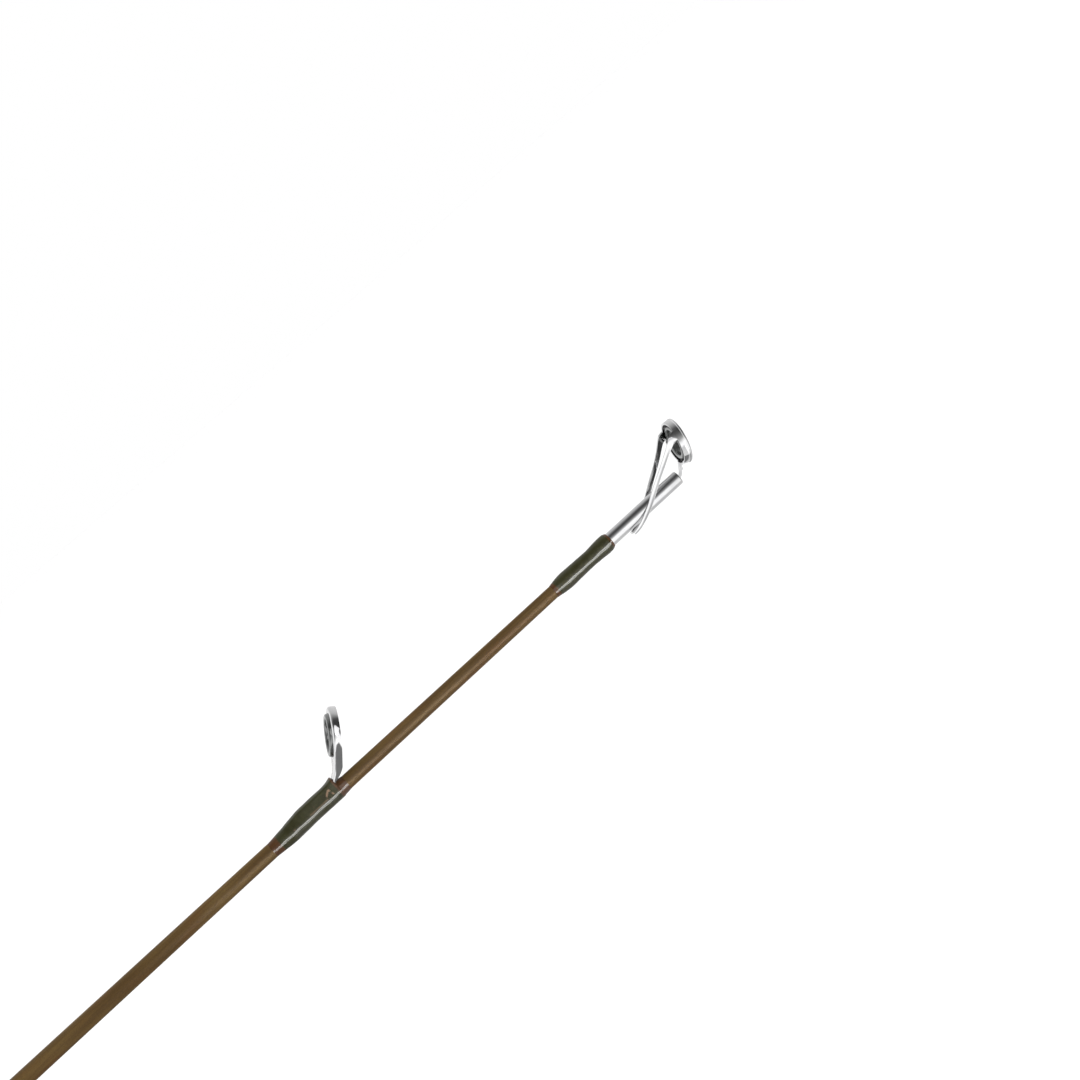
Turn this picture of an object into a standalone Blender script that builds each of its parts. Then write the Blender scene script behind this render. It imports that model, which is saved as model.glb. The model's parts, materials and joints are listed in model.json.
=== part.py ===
# Baitcasting rod, one piece, 1.98 m: tubular blank with a tip-top, seven single-foot runners,
# a double-foot butt guide, cork grips and a trigger reel seat with a sliding hood and lock nut.
# Metres, +Z up. The origin is on the reel-foot deck, +X runs to the tip, +Z is the guide side.

import math

import bmesh
import bpy
from mathutils import Vector

MM = 0.001

# Whole rod
ROD_LENGTH = 1981 * MM
BUTT_X = -297 * MM
DECK_HEIGHT = 10 * MM
TIP_REACH = 6.2 * MM
SIDES = 16
RING_SIDES = 18
GLUE_GAP = 0.05 * MM
WELD = 0.002 * MM

# Blank: a straight taper, thin tube
BLANK_TIP_RADIUS = 1.18 * MM
BLANK_TAPER = 0.00265
BLANK_TIP_WALL = 0.55 * MM
BLANK_BUTT_WALL = 1.0 * MM
BLANK_TIP_SETBACK = 3 * MM
BLANK_BUTT_INSET = 8 * MM
BLANK_SPANS = 6

# Tip-top
TUBE_RADIUS = 1.375 * MM
TUBE_LENGTH = 20 * MM
TUBE_VISIBLE = 18 * MM
TIP_RING_X = 4.1 * MM
TIP_RING_HEIGHT = 5.35 * MM
TIP_RING_LEAN = math.radians(14.5)
TIP_INSERT_RADIUS = 3.4 * MM
TIP_WRAP_LENGTH = 12.4 * MM
TIP_SIDES = 24

# Runners, measured on a size 8 ring and scaled from it
FIRST_SPACING = 83 * MM
SPACING_GROWTH = 1.157
RUNNER_SIZES = (8, 8, 8, 8, 8, 10, 10)
BUTT_GUIDE_SIZE = 12
BASE_SIZE = 8
GUIDE_LEAN = math.radians(35.8)
GUIDE_RISE = 7.0 * MM
SHEET = 0.6 * MM
FLANGE = 1.45 * MM
FLANGE_SHEET = 0.5 * MM
INSERT_RADIUS = 3.9 * MM
FRAME_RADIUS = 5.1 * MM
BEND_RADIUS = 4.5 * MM
FOOT_HALF_WIDTH = 0.8 * MM
FOOT_FLAT_END = -12.7 * MM
FOOT_END = -17.7 * MM
FOOT_TIP_THICKNESS = 0.12 * MM
THREAD = 0.26 * MM

# Grips and trim, radii at their ends
CAP_MOUTH_X = -277 * MM
END_RING_FRONT_X = -264 * MM
FRONT_RING_REAR_X = -74 * MM
TRIM_REAR_X = -66 * MM
STACK_GAP = 0.1 * MM
GRIP_SIDES = 24
FOREGRIP_REAR_X = 64.2 * MM
FOREGRIP_FRONT_X = 110 * MM
FOREGRIP_RING_FRONT_X = 116 * MM
WINDING_CHECK_FRONT_X = 121 * MM

# Reel seat
SEAT_REAR_X = -62 * MM
SEAT_FRONT_X = 64 * MM
SEAT_BORE = 8 * MM
BODY_FRONT_X = 10 * MM
HOOD_MOUTH_X = -31 * MM
BARREL_RADIUS = 10 * MM
BARREL_FLAT = 9.4 * MM
SEAT_SIDES = 28
POCKET_DEPTH = 13.5 * MM
CUSHION_WALL = 0.9 * MM
ARBOR_LENGTH = 14 * MM

# Sliding hood and lock nut, at rest wound fully forward
HOOD_REST_X = 30 * MM
HOOD_LENGTH = 18 * MM
HOOD_BORE = 10.8 * MM
COLLAR_RADIUS = 11.9 * MM
SNAP_RADIUS = 12.5 * MM
NUT_RADIUS = 13.6 * MM
NUT_REAR_X = 48.3 * MM
NUT_FRONT_X = 62 * MM
NUT_FLUTES = 9
FLUTE_DEPTH = 1.2 * MM

# Hook keeper on the underside
KEEPER_X = 141 * MM
KEEPER_WIRE = 0.55 * MM
KEEPER_RISE = 5.6 * MM


def clear_scene():
    for item in list(bpy.data.objects):
        bpy.data.objects.remove(item, do_unlink=True)


def finish_material(name, colour, roughness, metallic=0.0):
    material = bpy.data.materials.new(name)
    material.use_nodes = True
    shader = material.node_tree.nodes["Principled BSDF"]
    shader.inputs["Base Color"].default_value = (*colour, 1.0)
    shader.inputs["Roughness"].default_value = roughness
    shader.inputs["Metallic"].default_value = metallic
    material.diffuse_color = (*colour, 1.0)
    return material


FINISHES = {
    "blank": ((0.107, 0.065, 0.030), 0.42, 0.0),
    "steel": ((0.62, 0.62, 0.63), 0.12, 1.0),
    "ceramic": ((0.045, 0.047, 0.050), 0.10, 0.0),
    "thread": ((0.040, 0.045, 0.020), 0.08, 0.0),
    "cork": ((0.52, 0.34, 0.18), 0.85, 0.0),
    "burl": ((0.16, 0.10, 0.055), 0.80, 0.0),
    "rubber": ((0.018, 0.018, 0.017), 0.75, 0.0),
    "seat": ((0.022, 0.020, 0.018), 0.35, 0.0),
    "cushion": ((0.030, 0.030, 0.030), 0.80, 0.0),
    "alloy": ((0.30, 0.24, 0.16), 0.28, 1.0),
    "arbor": ((0.40, 0.38, 0.30), 0.90, 0.0),
}


def station(name, x, rotation=(0.0, 0.0, 0.0), parent=None):
    # An empty on the rod's axis that carries the pieces built round it.
    empty = bpy.data.objects.new(name, None)
    bpy.context.collection.objects.link(empty)
    if parent is None:
        empty.location = (x, 0.0, -DECK_HEIGHT)
    else:
        empty.parent = parent
        empty.location = (x, 0.0, 0.0)
    empty.rotation_euler = rotation
    return empty


def place(name, bm, finish, parent):
    bmesh.ops.recalc_face_normals(bm, faces=bm.faces)
    mesh = bpy.data.meshes.new(name)
    bm.to_mesh(mesh)
    bm.free()
    piece = bpy.data.objects.new(name, mesh)
    bpy.context.collection.objects.link(piece)
    piece.parent = parent
    piece.data.materials.append(finish_material(name, *FINISHES[finish]))
    mesh.shade_smooth()
    mesh.set_sharp_from_angle(angle=math.radians(32))
    return piece


def combine(target, tool, operation):
    # Both lie in one local frame; the tool is used up.
    tool.parent = target.parent
    bpy.context.view_layer.update()
    modifier = target.modifiers.new(operation.lower(), "BOOLEAN")
    modifier.operation = operation
    modifier.solver = "EXACT"
    modifier.object = tool
    with bpy.context.temp_override(object=target, active_object=target):
        bpy.ops.object.modifier_apply(modifier=modifier.name)
    bpy.data.objects.remove(tool, do_unlink=True)
    bm = bmesh.new()
    bm.from_mesh(target.data)
    bmesh.ops.remove_doubles(bm, verts=bm.verts, dist=WELD)
    bmesh.ops.dissolve_degenerate(bm, edges=bm.edges, dist=WELD)
    bm.to_mesh(target.data)
    bm.free()
    target.data.set_sharp_from_angle(angle=math.radians(32))


def around(x, radius, sides):
    # A ring round the rod's axis; the first point is at the top.
    points = []
    for index in range(sides):
        angle = 2 * math.pi * index / sides
        reach = radius(angle) if callable(radius) else radius
        points.append(Vector((x, reach * math.sin(angle), reach * math.cos(angle))))
    return points


def solid_of(rings, closed=False):
    # Quads between rings of equal count; closed joins the last ring to the first.
    bm = bmesh.new()
    rows = [[bm.verts.new(point) for point in ring] for ring in rings]
    spans = len(rows) if closed else len(rows) - 1
    for index in range(spans):
        near = rows[index]
        far = rows[(index + 1) % len(rows)]
        for corner in range(len(near)):
            following = (corner + 1) % len(near)
            bm.faces.new((near[corner], near[following], far[following], far[corner]))
    if not closed:
        bm.faces.new(rows[0])
        bm.faces.new(rows[-1])
    return bm


def turned(name, profile, finish, parent, sides=SIDES, closed=True):
    # A profile of (x, radius) points turned round the rod's axis.
    bm = solid_of([around(x, radius, sides) for x, radius in profile], closed)
    return place(name, bm, finish, parent)


def blank_radius(x):
    return BLANK_TIP_RADIUS + BLANK_TAPER * (blank_tip_x() - x)


def tube_end_x():
    return BUTT_X + ROD_LENGTH - TIP_REACH


def blank_tip_x():
    return tube_end_x() - BLANK_TIP_SETBACK


def strip(path, margin=0.0, below=0.0):
    # A sheet-metal strip. Each station is (point, normal, half width, near face, far face);
    # the faces are heights along the normal and the width runs along Y.
    rings = []
    for point, normal, half_width, near, far in path:
        half = half_width + margin
        low = near - margin
        high = far + max(margin, below)
        ring = []
        for side, height in ((-half, low), (half, low), (half, high), (-half, high)):
            ring.append(point + Vector((0.0, side, 0.0)) + normal * height)
        rings.append(ring)
    return solid_of(rings)


def loose(bm):
    # A working solid for a Boolean, before it is given to combine.
    bmesh.ops.recalc_face_normals(bm, faces=bm.faces)
    mesh = bpy.data.meshes.new("tool")
    bm.to_mesh(mesh)
    bm.free()
    tool = bpy.data.objects.new("tool", mesh)
    tool.display_type = "WIRE"
    tool.hide_render = True
    bpy.context.collection.objects.link(tool)
    return tool


def cone_tool(start, end, radius_start, radius_end, sides=SIDES):
    return loose(solid_of([around(start, radius_start, sides), around(end, radius_end, sides)]))


def lean_frame(centre, lean):
    # Local frame of a leaning ring: across, up the lean, and its forward normal.
    up = Vector((math.sin(lean), 0.0, math.cos(lean)))
    forward = Vector((math.cos(lean), 0.0, -math.sin(lean)))
    return centre, Vector((0.0, 1.0, 0.0)), up, forward


def turned_ring(profile, frame, sides):
    # A profile of (radius, depth) turned round a leaning ring's own axis.
    centre, across, up, forward = frame
    rings = []
    for radius, depth in profile:
        ring = []
        for index in range(sides):
            angle = 2 * math.pi * (index + 0.5) / sides
            spoke = across * math.sin(angle) + up * math.cos(angle)
            ring.append(centre + spoke * radius + forward * depth)
        rings.append(ring)
    return solid_of(rings, closed=True)


def insert_profile(outer, bore, rear, front):
    # Rounded on the line's side, with soft outer corners.
    wall = outer - bore
    depth = front - rear
    return (
        (outer, front - 0.15 * depth),
        (bore + 0.45 * wall, front),
        (bore, front - 0.33 * depth),
        (bore, rear + 0.33 * depth),
        (bore + 0.45 * wall, rear),
        (outer, rear + 0.15 * depth),
    )


def build_blank(rod):
    start = BUTT_X + BLANK_BUTT_INSET
    end = blank_tip_x()
    outside = []
    inside = []
    for index in range(BLANK_SPANS + 1):
        share = index / BLANK_SPANS
        x = start + (end - start) * share
        wall = BLANK_BUTT_WALL + (BLANK_TIP_WALL - BLANK_BUTT_WALL) * share
        outside.append((x, blank_radius(x)))
        inside.append((x, blank_radius(x) - wall))
    turned("blank", outside + inside[::-1], "blank", rod)


def wrap_radius(base, top, half_angle):
    # Thread pulled tight over a round blank and a raised foot: an arc over the foot,
    # straight tangents down its sides, and the plain round below.
    if top <= base:
        return base
    reach = half_angle + math.acos(base / top)

    def radius(angle):
        turn = min(angle, 2 * math.pi - angle)
        if turn >= reach:
            return base
        return min(top, base / math.cos(reach - turn))

    return radius


def wrap_solid(stations, bore_start, bore_end, half_angle, sides=SIDES):
    # Stations are (x, lowest radius, radius over the foot), from the rear to the front.
    outside = [around(x, wrap_radius(base, top, half_angle), sides) for x, base, top in stations]
    inside = [around(stations[-1][0], bore_end, sides), around(stations[0][0], bore_start, sides)]
    return solid_of(outside + inside, closed=True)


def foot_wrap_stations(scale, blank):
    # Offsets from the blank's surface, read off the photographed runner.
    # The rear band, the swell where the thread meets the foot, the waist, and the climb to the leg.
    edge = 0.11 * MM
    offsets = (
        (-20.8, edge, edge),
        (-18.2, 0.30 * MM, 0.33 * MM),
        (-15.9, 0.39 * MM, 0.63 * MM),
        (-13.0, 0.28 * MM, 1.00 * MM),
        (-7.6, 0.28 * MM, 1.02 * MM),
        (-5.2, 0.28 * MM, 1.45 * MM),
        (-4.95, 0.15 * MM, 0.15 * MM),
        (-3.4, edge, edge),
    )
    extra = SHEET * (scale - 1)
    stations = []
    for x, base, top in offsets:
        raised = extra if top > base + 0.2 * MM else 0.0
        stations.append((x * MM * scale, blank + base, blank + top + raised))
    return stations


def foot_path(scale, blank, head_height, half_top):
    # The pressed leg and foot, from inside the ring down the lean, round the bend
    # and along the blank towards the butt.
    lean = GUIDE_LEAN
    bend = BEND_RADIUS * scale
    sheet = SHEET * scale
    foot_top = blank + GLUE_GAP + sheet
    bend_start_z = foot_top + bend * (1 - math.sin(lean))
    bend_start_x = -(head_height - bend_start_z) * math.tan(lean)
    up = Vector((math.sin(lean), 0.0, math.cos(lean)))
    forward = Vector((math.cos(lean), 0.0, -math.sin(lean)))
    centre = Vector((0.0, 0.0, head_height))
    flange = FLANGE * scale
    neck_half = 1.25 * MM * scale
    foot_half = FOOT_HALF_WIDTH * scale
    start = centre - up * (INSERT_RADIUS * scale + 0.15 * MM)
    stations = [(start, forward, half_top, 0.0, flange)]
    stations.append((Vector((bend_start_x, 0.0, bend_start_z)), forward, neck_half, 0.0, flange))
    steps = 5
    for index in range(1, steps + 1):
        share = index / steps
        angle = lean + (math.pi / 2 - lean) * share
        x = bend_start_x - bend * (math.cos(lean) - math.cos(angle))
        z = bend_start_z - bend * (math.sin(angle) - math.sin(lean))
        normal = Vector((math.cos(angle), 0.0, -math.sin(angle)))
        half = neck_half + (foot_half - neck_half) * share
        height = flange + (sheet - flange) * min(1.0, share * 1.25)
        stations.append((Vector((x, 0.0, z)), normal, half, 0.0, height))
    down = Vector((0.0, 0.0, -1.0))
    flat_x = FOOT_FLAT_END * scale
    end_x = FOOT_END * scale
    stations.append((Vector((flat_x, 0.0, foot_top)), down, foot_half, 0.0, sheet))
    tip = FOOT_TIP_THICKNESS * scale
    end_point = Vector((end_x, 0.0, foot_top - sheet + tip))
    stations.append((end_point, down, foot_half * 0.7, 0.0, tip))
    return stations


def channel_path(stations, scale, cup_start):
    # The hollow of the pressed leg: inside its flanges, open to the front.
    sheet = SHEET * scale
    wall = FLANGE_SHEET * scale
    hollow = []
    for index, (point, normal, half, near, far) in enumerate(stations[:4]):
        origin = cup_start if index == 0 else point
        hollow.append((origin, normal, half - wall, sheet + 0.03 * MM, far + 0.4 * MM))
    # The last station stops a little short, so that no two corners fall together.
    point, normal, half, near, far = hollow[-1]
    previous = hollow[-2][0]
    hollow[-1] = (point.lerp(previous, 0.3), normal, half, near, far)
    return hollow


def build_guide(prefix, x, size, double=False):
    scale = size / BASE_SIZE
    blank = blank_radius(x)
    head = blank + GUIDE_RISE * scale
    holder = station(prefix + "_station", x)
    lean = GUIDE_LEAN
    frame = lean_frame(Vector((0.0, 0.0, head)), lean)
    up = frame[2]
    outer = FRAME_RADIUS * scale
    hole = INSERT_RADIUS * scale + GLUE_GAP
    sheet = SHEET * scale
    flange = FLANGE * scale
    wall = FLANGE_SHEET * scale
    rim = (
        (hole, 0.0),
        (outer - 0.32 * MM, 0.0),
        (outer, 0.30 * MM),
        (outer, flange),
        (outer - wall, flange),
        (outer - wall, sheet),
        (hole, sheet),
    )
    frame_piece = place(prefix + "_frame", turned_ring(rim, frame, RING_SIDES), "steel", holder)
    half_top = 2.85 * MM * scale
    path = foot_path(scale, blank, head, half_top)
    leg = [(p, n, h, near + 0.03 * MM, far - 0.03 * MM) for p, n, h, near, far in path]
    combine(frame_piece, loose(strip(leg)), "UNION")
    cup_start = frame[0] - up * (INSERT_RADIUS * scale + 0.1 * MM)
    combine(frame_piece, loose(strip(channel_path(path, scale, cup_start))), "DIFFERENCE")
    if double:
        add_front_foot(frame_piece, frame, scale, blank, head)
    reach = 40 * MM * scale
    saddle = cone_tool(
        -reach,
        reach,
        blank_radius(x - reach) + GLUE_GAP,
        blank_radius(x + reach) + GLUE_GAP,
    )
    combine(frame_piece, saddle, "DIFFERENCE")
    insert = insert_profile(INSERT_RADIUS * scale, 2.9 * MM * scale, -1.05 * MM * scale, 1.2 * MM * scale)
    place(prefix + "_insert", turned_ring(insert, frame, RING_SIDES), "ceramic", holder)
    wrap_name = prefix + ("_rear_wrap" if double else "_wrap")
    add_foot_wrap(wrap_name, holder, x, scale, blank, path)
    if double:
        front = front_foot_path(scale, blank)
        add_front_wrap(prefix + "_front_wrap", holder, x, scale, blank, front)


def add_foot_wrap(name, holder, x, scale, blank, path):
    stations = foot_wrap_stations(scale, blank)
    bore_start = blank_radius(x + stations[0][0]) + GLUE_GAP
    bore_end = blank_radius(x + stations[-1][0]) + GLUE_GAP
    wrap = place(name, wrap_solid(stations, bore_start, bore_end, math.radians(28)), "thread", holder)
    slot = strip(path, margin=GLUE_GAP, below=0.35 * MM)
    combine(wrap, loose(slot), "DIFFERENCE")


def front_foot_path(scale, blank):
    # The second foot of the butt guide, towards the tip, thinning to its end.
    down = Vector((0.0, 0.0, -1.0))
    sheet = SHEET * scale
    top = blank + GLUE_GAP + sheet
    tip = FOOT_TIP_THICKNESS * scale
    half = 1.0 * MM * scale
    return [
        (Vector((11.5 * MM * scale, 0.0, top)), down, half, 0.0, sheet),
        (Vector((17.0 * MM * scale, 0.0, top)), down, half, 0.0, sheet),
        (Vector((22.0 * MM * scale, 0.0, top - sheet + tip)), down, half * 0.7, 0.0, tip),
    ]


def add_front_foot(frame_piece, frame, scale, blank, head):
    # Two struts from the ring's sides meet on a foot ahead of the ring.
    centre, across, up, forward = frame
    foot = [(p, n, h, near, far + 0.02 * MM) for p, n, h, near, far in front_foot_path(scale, blank)]
    combine(frame_piece, loose(strip(foot)), "UNION")
    landing = Vector((12.3 * MM * scale, 0.0, blank + SHEET * scale * 0.75))
    for side in (-1, 1):
        shoulder = centre + across * side * (FRAME_RADIUS * scale - 0.35 * MM)
        shoulder = shoulder + forward * FLANGE * scale * 0.55
        knee = Vector((8.0 * MM * scale, side * 2.0 * MM * scale, blank + 2.2 * MM * scale))
        toe = landing + Vector((0.0, side * 0.45 * MM * scale, 0.0))
        halves = [0.62 * MM * scale] * 3
        strut = sweep_flat((shoulder, knee, toe), halves, 0.38 * MM * scale)
        combine(frame_piece, loose(strut), "UNION")


def sweep_flat(points, half_widths, half_thickness):
    # A flat bar through a few points, its width held in the rod's upright plane.
    rings = []
    for index, point in enumerate(points):
        before = points[max(0, index - 1)]
        after = points[min(len(points) - 1, index + 1)]
        along = (after - before).normalized()
        wide = Vector((0.0, 1.0, 0.0)).cross(along).normalized() * half_widths[index]
        thick = along.cross(wide).normalized() * half_thickness
        rings.append([point - wide - thick, point + wide - thick, point + wide + thick, point - wide + thick])
    return solid_of(rings)


def add_front_wrap(name, holder, x, scale, blank, path):
    extra = SHEET * (scale - 1)
    edge = 0.11 * MM
    offsets = (
        (13.4, edge, edge),
        (13.9, 0.27 * MM, 1.05 * MM + extra),
        (17.0, 0.27 * MM, 1.02 * MM + extra),
        (19.6, 0.36 * MM, 0.85 * MM + extra),
        (22.1, 0.38 * MM, 0.62 * MM),
        (23.6, 0.24 * MM, 0.24 * MM),
        (25.2, edge, edge),
    )
    stations = [(a * MM * scale, blank + b, blank + c) for a, b, c in offsets]
    bore_start = blank_radius(x + stations[0][0]) + GLUE_GAP
    bore_end = blank_radius(x + stations[-1][0]) + GLUE_GAP
    wrap = place(name, wrap_solid(stations, bore_start, bore_end, math.radians(28)), "thread", holder)
    combine(wrap, loose(strip(path, margin=GLUE_GAP, below=0.35 * MM)), "DIFFERENCE")


def build_tip_top(tip):
    # Local frame: the tube's front end on the rod's axis.
    bore = BLANK_TIP_RADIUS + BLANK_TAPER * TUBE_LENGTH + 0.03 * MM
    tube = ((-TUBE_LENGTH, bore), (-TUBE_LENGTH, TUBE_RADIUS), (0.0, TUBE_RADIUS), (0.0, bore))
    turned("tip_tube", tube, "steel", tip)

    frame = lean_frame(Vector((TIP_RING_X, 0.0, TIP_RING_HEIGHT)), TIP_RING_LEAN)
    hole = TIP_INSERT_RADIUS + GLUE_GAP
    rim = (
        (hole, 0.85 * MM),
        (4.20 * MM, 0.85 * MM),
        (4.45 * MM, 0.58 * MM),
        (4.22 * MM, -0.85 * MM),
        (3.80 * MM, -0.85 * MM),
        (3.95 * MM, 0.35 * MM),
        (hole, 0.35 * MM),
    )
    frame_piece = place("tip_frame", turned_ring(rim, frame, TIP_SIDES), "steel", tip)
    # Each leg leaves the band at its side and dies out along the tube: (x, y, z, half width).
    leg = (
        (3.90, 3.98, 6.18, 0.40),
        (3.20, 3.93, 6.10, 0.56),
        (2.20, 3.80, 5.85, 0.56),
        (0.0, 3.25, 4.75, 0.48),
        (-3.1, 2.35, 2.95, 0.48),
        (-6.0, 1.78, 1.20, 0.48),
        (-8.9, 1.72, -0.25, 0.46),
        (-11.6, 1.55, -1.10, 0.42),
        (-13.6, 1.30, -1.45, 0.32),
    )
    widths = [half * MM for x, y, z, half in leg]
    for side in (-1, 1):
        points = [Vector((x * MM, side * y * MM, z * MM)) for x, y, z, half in leg]
        combine(frame_piece, loose(sweep_flat(points, widths, 0.22 * MM)), "UNION")
    neck_points = (
        (3.05, 1.55),
        (2.35, 0.85),
        (1.55, 0.20),
        (0.85, -0.35),
        (0.15, -0.56),
        (-1.0, -0.58),
    )
    neck = []
    for index, (x, z) in enumerate(neck_points):
        before = neck_points[max(0, index - 1)]
        after = neck_points[min(len(neck_points) - 1, index + 1)]
        along = Vector((after[0] - before[0], 0.0, after[1] - before[1])).normalized()
        normal = along.cross(Vector((0.0, 1.0, 0.0)))
        neck.append((Vector((x * MM, 0.0, z * MM)), normal, 0.72 * MM, -0.30 * MM, 0.30 * MM))
    combine(frame_piece, loose(strip(neck)), "UNION")
    clear = ((-TUBE_LENGTH, 0.9 * MM), (-TUBE_LENGTH, TUBE_RADIUS + 0.04 * MM))
    clear = clear + ((0.04 * MM, TUBE_RADIUS + 0.04 * MM), (0.04 * MM, bore - 0.04 * MM))
    clear = clear + ((-1.5 * MM, bore - 0.04 * MM), (-1.5 * MM, 0.9 * MM))
    sleeve = loose(solid_of([around(x, radius, SIDES) for x, radius in clear], closed=True))
    combine(frame_piece, sleeve, "DIFFERENCE")

    insert = insert_profile(TIP_INSERT_RADIUS, 2.45 * MM, -0.7 * MM, 1.1 * MM)
    place("tip_insert", turned_ring(insert, frame, TIP_SIDES), "ceramic", tip)
    build_tip_wrap(tip)


def build_tip_wrap(tip):
    # Thread over the blank and the last of the tube: swollen ends and a slim waist.
    front = -TUBE_VISIBLE
    rear = front - TIP_WRAP_LENGTH
    origin = tube_end_x()
    over_tube = TUBE_RADIUS + GLUE_GAP
    under = blank_radius(origin + rear) + GLUE_GAP
    step = -TUBE_LENGTH - 0.15 * MM
    profile = (
        (rear - 0.9 * MM, under + 0.06 * MM),
        (rear + 0.4 * MM, 1.52 * MM),
        (rear + 2.2 * MM, 1.63 * MM),
        (rear + 4.2 * MM, 1.57 * MM),
        (rear + 6.6 * MM, 1.50 * MM),
        (rear + 9.0 * MM, 1.56 * MM),
        (front - 0.9 * MM, 1.68 * MM),
        (front - 0.05 * MM, 1.64 * MM),
        (front + 0.5 * MM, over_tube + 0.05 * MM),
        (front + 0.5 * MM, over_tube),
        (step, over_tube),
        (step, blank_radius(origin + step) + GLUE_GAP),
        (rear - 0.9 * MM, under + 0.003 * MM),
    )
    turned("tip_wrap", profile, "thread", tip)


def bored(x, extra=STACK_GAP):
    # Radius of a hole that a piece stacked on the blank has at x.
    return blank_radius(x) + extra


def build_handle(rod):
    spigot = 11.9 * MM
    cavity_x = BUTT_X + 7 * MM
    cap = (
        (BUTT_X, 9.5 * MM),
        (BUTT_X + 0.5 * MM, 11.4 * MM),
        (BUTT_X + 2.4 * MM, 13.5 * MM),
        (BUTT_X + 6.5 * MM, 14.3 * MM),
        (BUTT_X + 14 * MM, 13.9 * MM),
        (CAP_MOUTH_X - 0.6 * MM, 13.4 * MM),
        (CAP_MOUTH_X, 13.0 * MM),
        (CAP_MOUTH_X, spigot + STACK_GAP),
        (cavity_x, spigot + STACK_GAP),
    )
    turned("butt_cap", cap, "rubber", rod, GRIP_SIDES, closed=False)

    spigot_x = cavity_x + 0.3 * MM
    shoulder_x = CAP_MOUTH_X + 0.3 * MM
    end_ring = (
        (spigot_x, bored(spigot_x)),
        (spigot_x, spigot - 0.4 * MM),
        (spigot_x + 0.5 * MM, spigot),
        (shoulder_x, spigot),
        (shoulder_x, 13.0 * MM),
        (END_RING_FRONT_X, 13.1 * MM),
        (END_RING_FRONT_X, bored(END_RING_FRONT_X)),
    )
    turned("rear_grip_end_ring", end_ring, "burl", rod, GRIP_SIDES)

    grip_start = END_RING_FRONT_X + STACK_GAP
    grip_end = FRONT_RING_REAR_X - STACK_GAP
    waist = ((0.0, 13.1), (0.08, 13.3), (0.2, 12.9), (0.36, 12.0), (0.52, 11.3), (0.68, 11.1))
    waist = waist + ((0.82, 11.35), (0.93, 11.55), (1.0, 11.4))
    grip = [(grip_start, bored(grip_start))]
    for share, radius in waist:
        grip.append((grip_start + (grip_end - grip_start) * share, radius * MM))
    grip.append((grip_end, bored(grip_end)))
    turned("rear_grip", grip, "cork", rod, GRIP_SIDES)

    ring_end = TRIM_REAR_X - STACK_GAP
    front_ring = (
        (FRONT_RING_REAR_X, bored(FRONT_RING_REAR_X)),
        (FRONT_RING_REAR_X, 11.4 * MM),
        (ring_end, 11.15 * MM),
        (ring_end, bored(ring_end)),
    )
    turned("rear_grip_front_ring", front_ring, "burl", rod, GRIP_SIDES)

    trim_end = SEAT_REAR_X - STACK_GAP
    trim = (
        (TRIM_REAR_X, bored(TRIM_REAR_X)),
        (TRIM_REAR_X, 11.2 * MM),
        (TRIM_REAR_X + 0.5 * MM, 11.6 * MM),
        (trim_end - 0.5 * MM, 11.6 * MM),
        (trim_end, 11.3 * MM),
        (trim_end, bored(trim_end)),
    )
    turned("seat_rear_trim", trim, "alloy", rod, GRIP_SIDES)

    foregrip_end = FOREGRIP_FRONT_X
    length = foregrip_end - FOREGRIP_REAR_X
    shape = ((0.0, 11.6), (0.06, 12.2), (0.25, 12.5), (0.5, 11.9), (0.75, 10.9), (1.0, 10.2))
    foregrip = [(FOREGRIP_REAR_X, bored(FOREGRIP_REAR_X))]
    for share, radius in shape:
        foregrip.append((FOREGRIP_REAR_X + length * share, radius * MM))
    foregrip.append((foregrip_end, bored(foregrip_end)))
    turned("foregrip", foregrip, "cork", rod, GRIP_SIDES)

    ring_start = FOREGRIP_FRONT_X + STACK_GAP
    fore_ring = (
        (ring_start, bored(ring_start)),
        (ring_start, 10.2 * MM),
        (FOREGRIP_RING_FRONT_X - 1.2 * MM, 9.7 * MM),
        (FOREGRIP_RING_FRONT_X, 9.2 * MM),
        (FOREGRIP_RING_FRONT_X, bored(FOREGRIP_RING_FRONT_X)),
    )
    turned("foregrip_front_ring", fore_ring, "burl", rod, GRIP_SIDES)

    check_start = FOREGRIP_RING_FRONT_X + STACK_GAP
    check = (
        (check_start, bored(check_start)),
        (check_start, 9.0 * MM),
        (check_start + 0.9 * MM, 9.0 * MM),
        (check_start + 1.6 * MM, 8.1 * MM),
        (WINDING_CHECK_FRONT_X - 0.8 * MM, 6.7 * MM),
        (WINDING_CHECK_FRONT_X, 6.5 * MM),
        (WINDING_CHECK_FRONT_X, bored(WINDING_CHECK_FRONT_X)),
    )
    turned("winding_check", check, "alloy", rod, GRIP_SIDES)

    for name, centre in (("seat_arbor_rear", -42 * MM), ("seat_arbor_front", 46 * MM)):
        low = centre - ARBOR_LENGTH / 2
        high = centre + ARBOR_LENGTH / 2
        arbor = (
            (low, bored(low)),
            (low, SEAT_BORE - STACK_GAP),
            (high, SEAT_BORE - STACK_GAP),
            (high, bored(high)),
        )
        turned(name, arbor, "arbor", rod)


def oval(x, side, top, bottom, fullness, sides=SEAT_SIDES):
    # A closed section with its own top and bottom heights; fullness under 1 squares it up.
    ring = []
    for index in range(sides):
        angle = 2 * math.pi * index / sides
        across = math.sin(angle)
        rise = math.cos(angle)
        y = side * math.copysign(abs(across) ** fullness, across)
        reach = top if rise > 0 else bottom
        z = reach * math.copysign(abs(rise) ** fullness, rise)
        ring.append(Vector((x, y, z)))
    return ring


def pocket_outline(margin):
    # Half of the reel-foot pocket's arch as (y, z), from its floor to the crown.
    return (
        (7.2 * MM - margin, BARREL_FLAT),
        (7.2 * MM - margin, 13.2 * MM - margin * 0.4),
        (5.5 * MM - margin * 0.8, 15.2 * MM - margin * 0.8),
        (0.0, 16.2 * MM - margin),
    )


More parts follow.
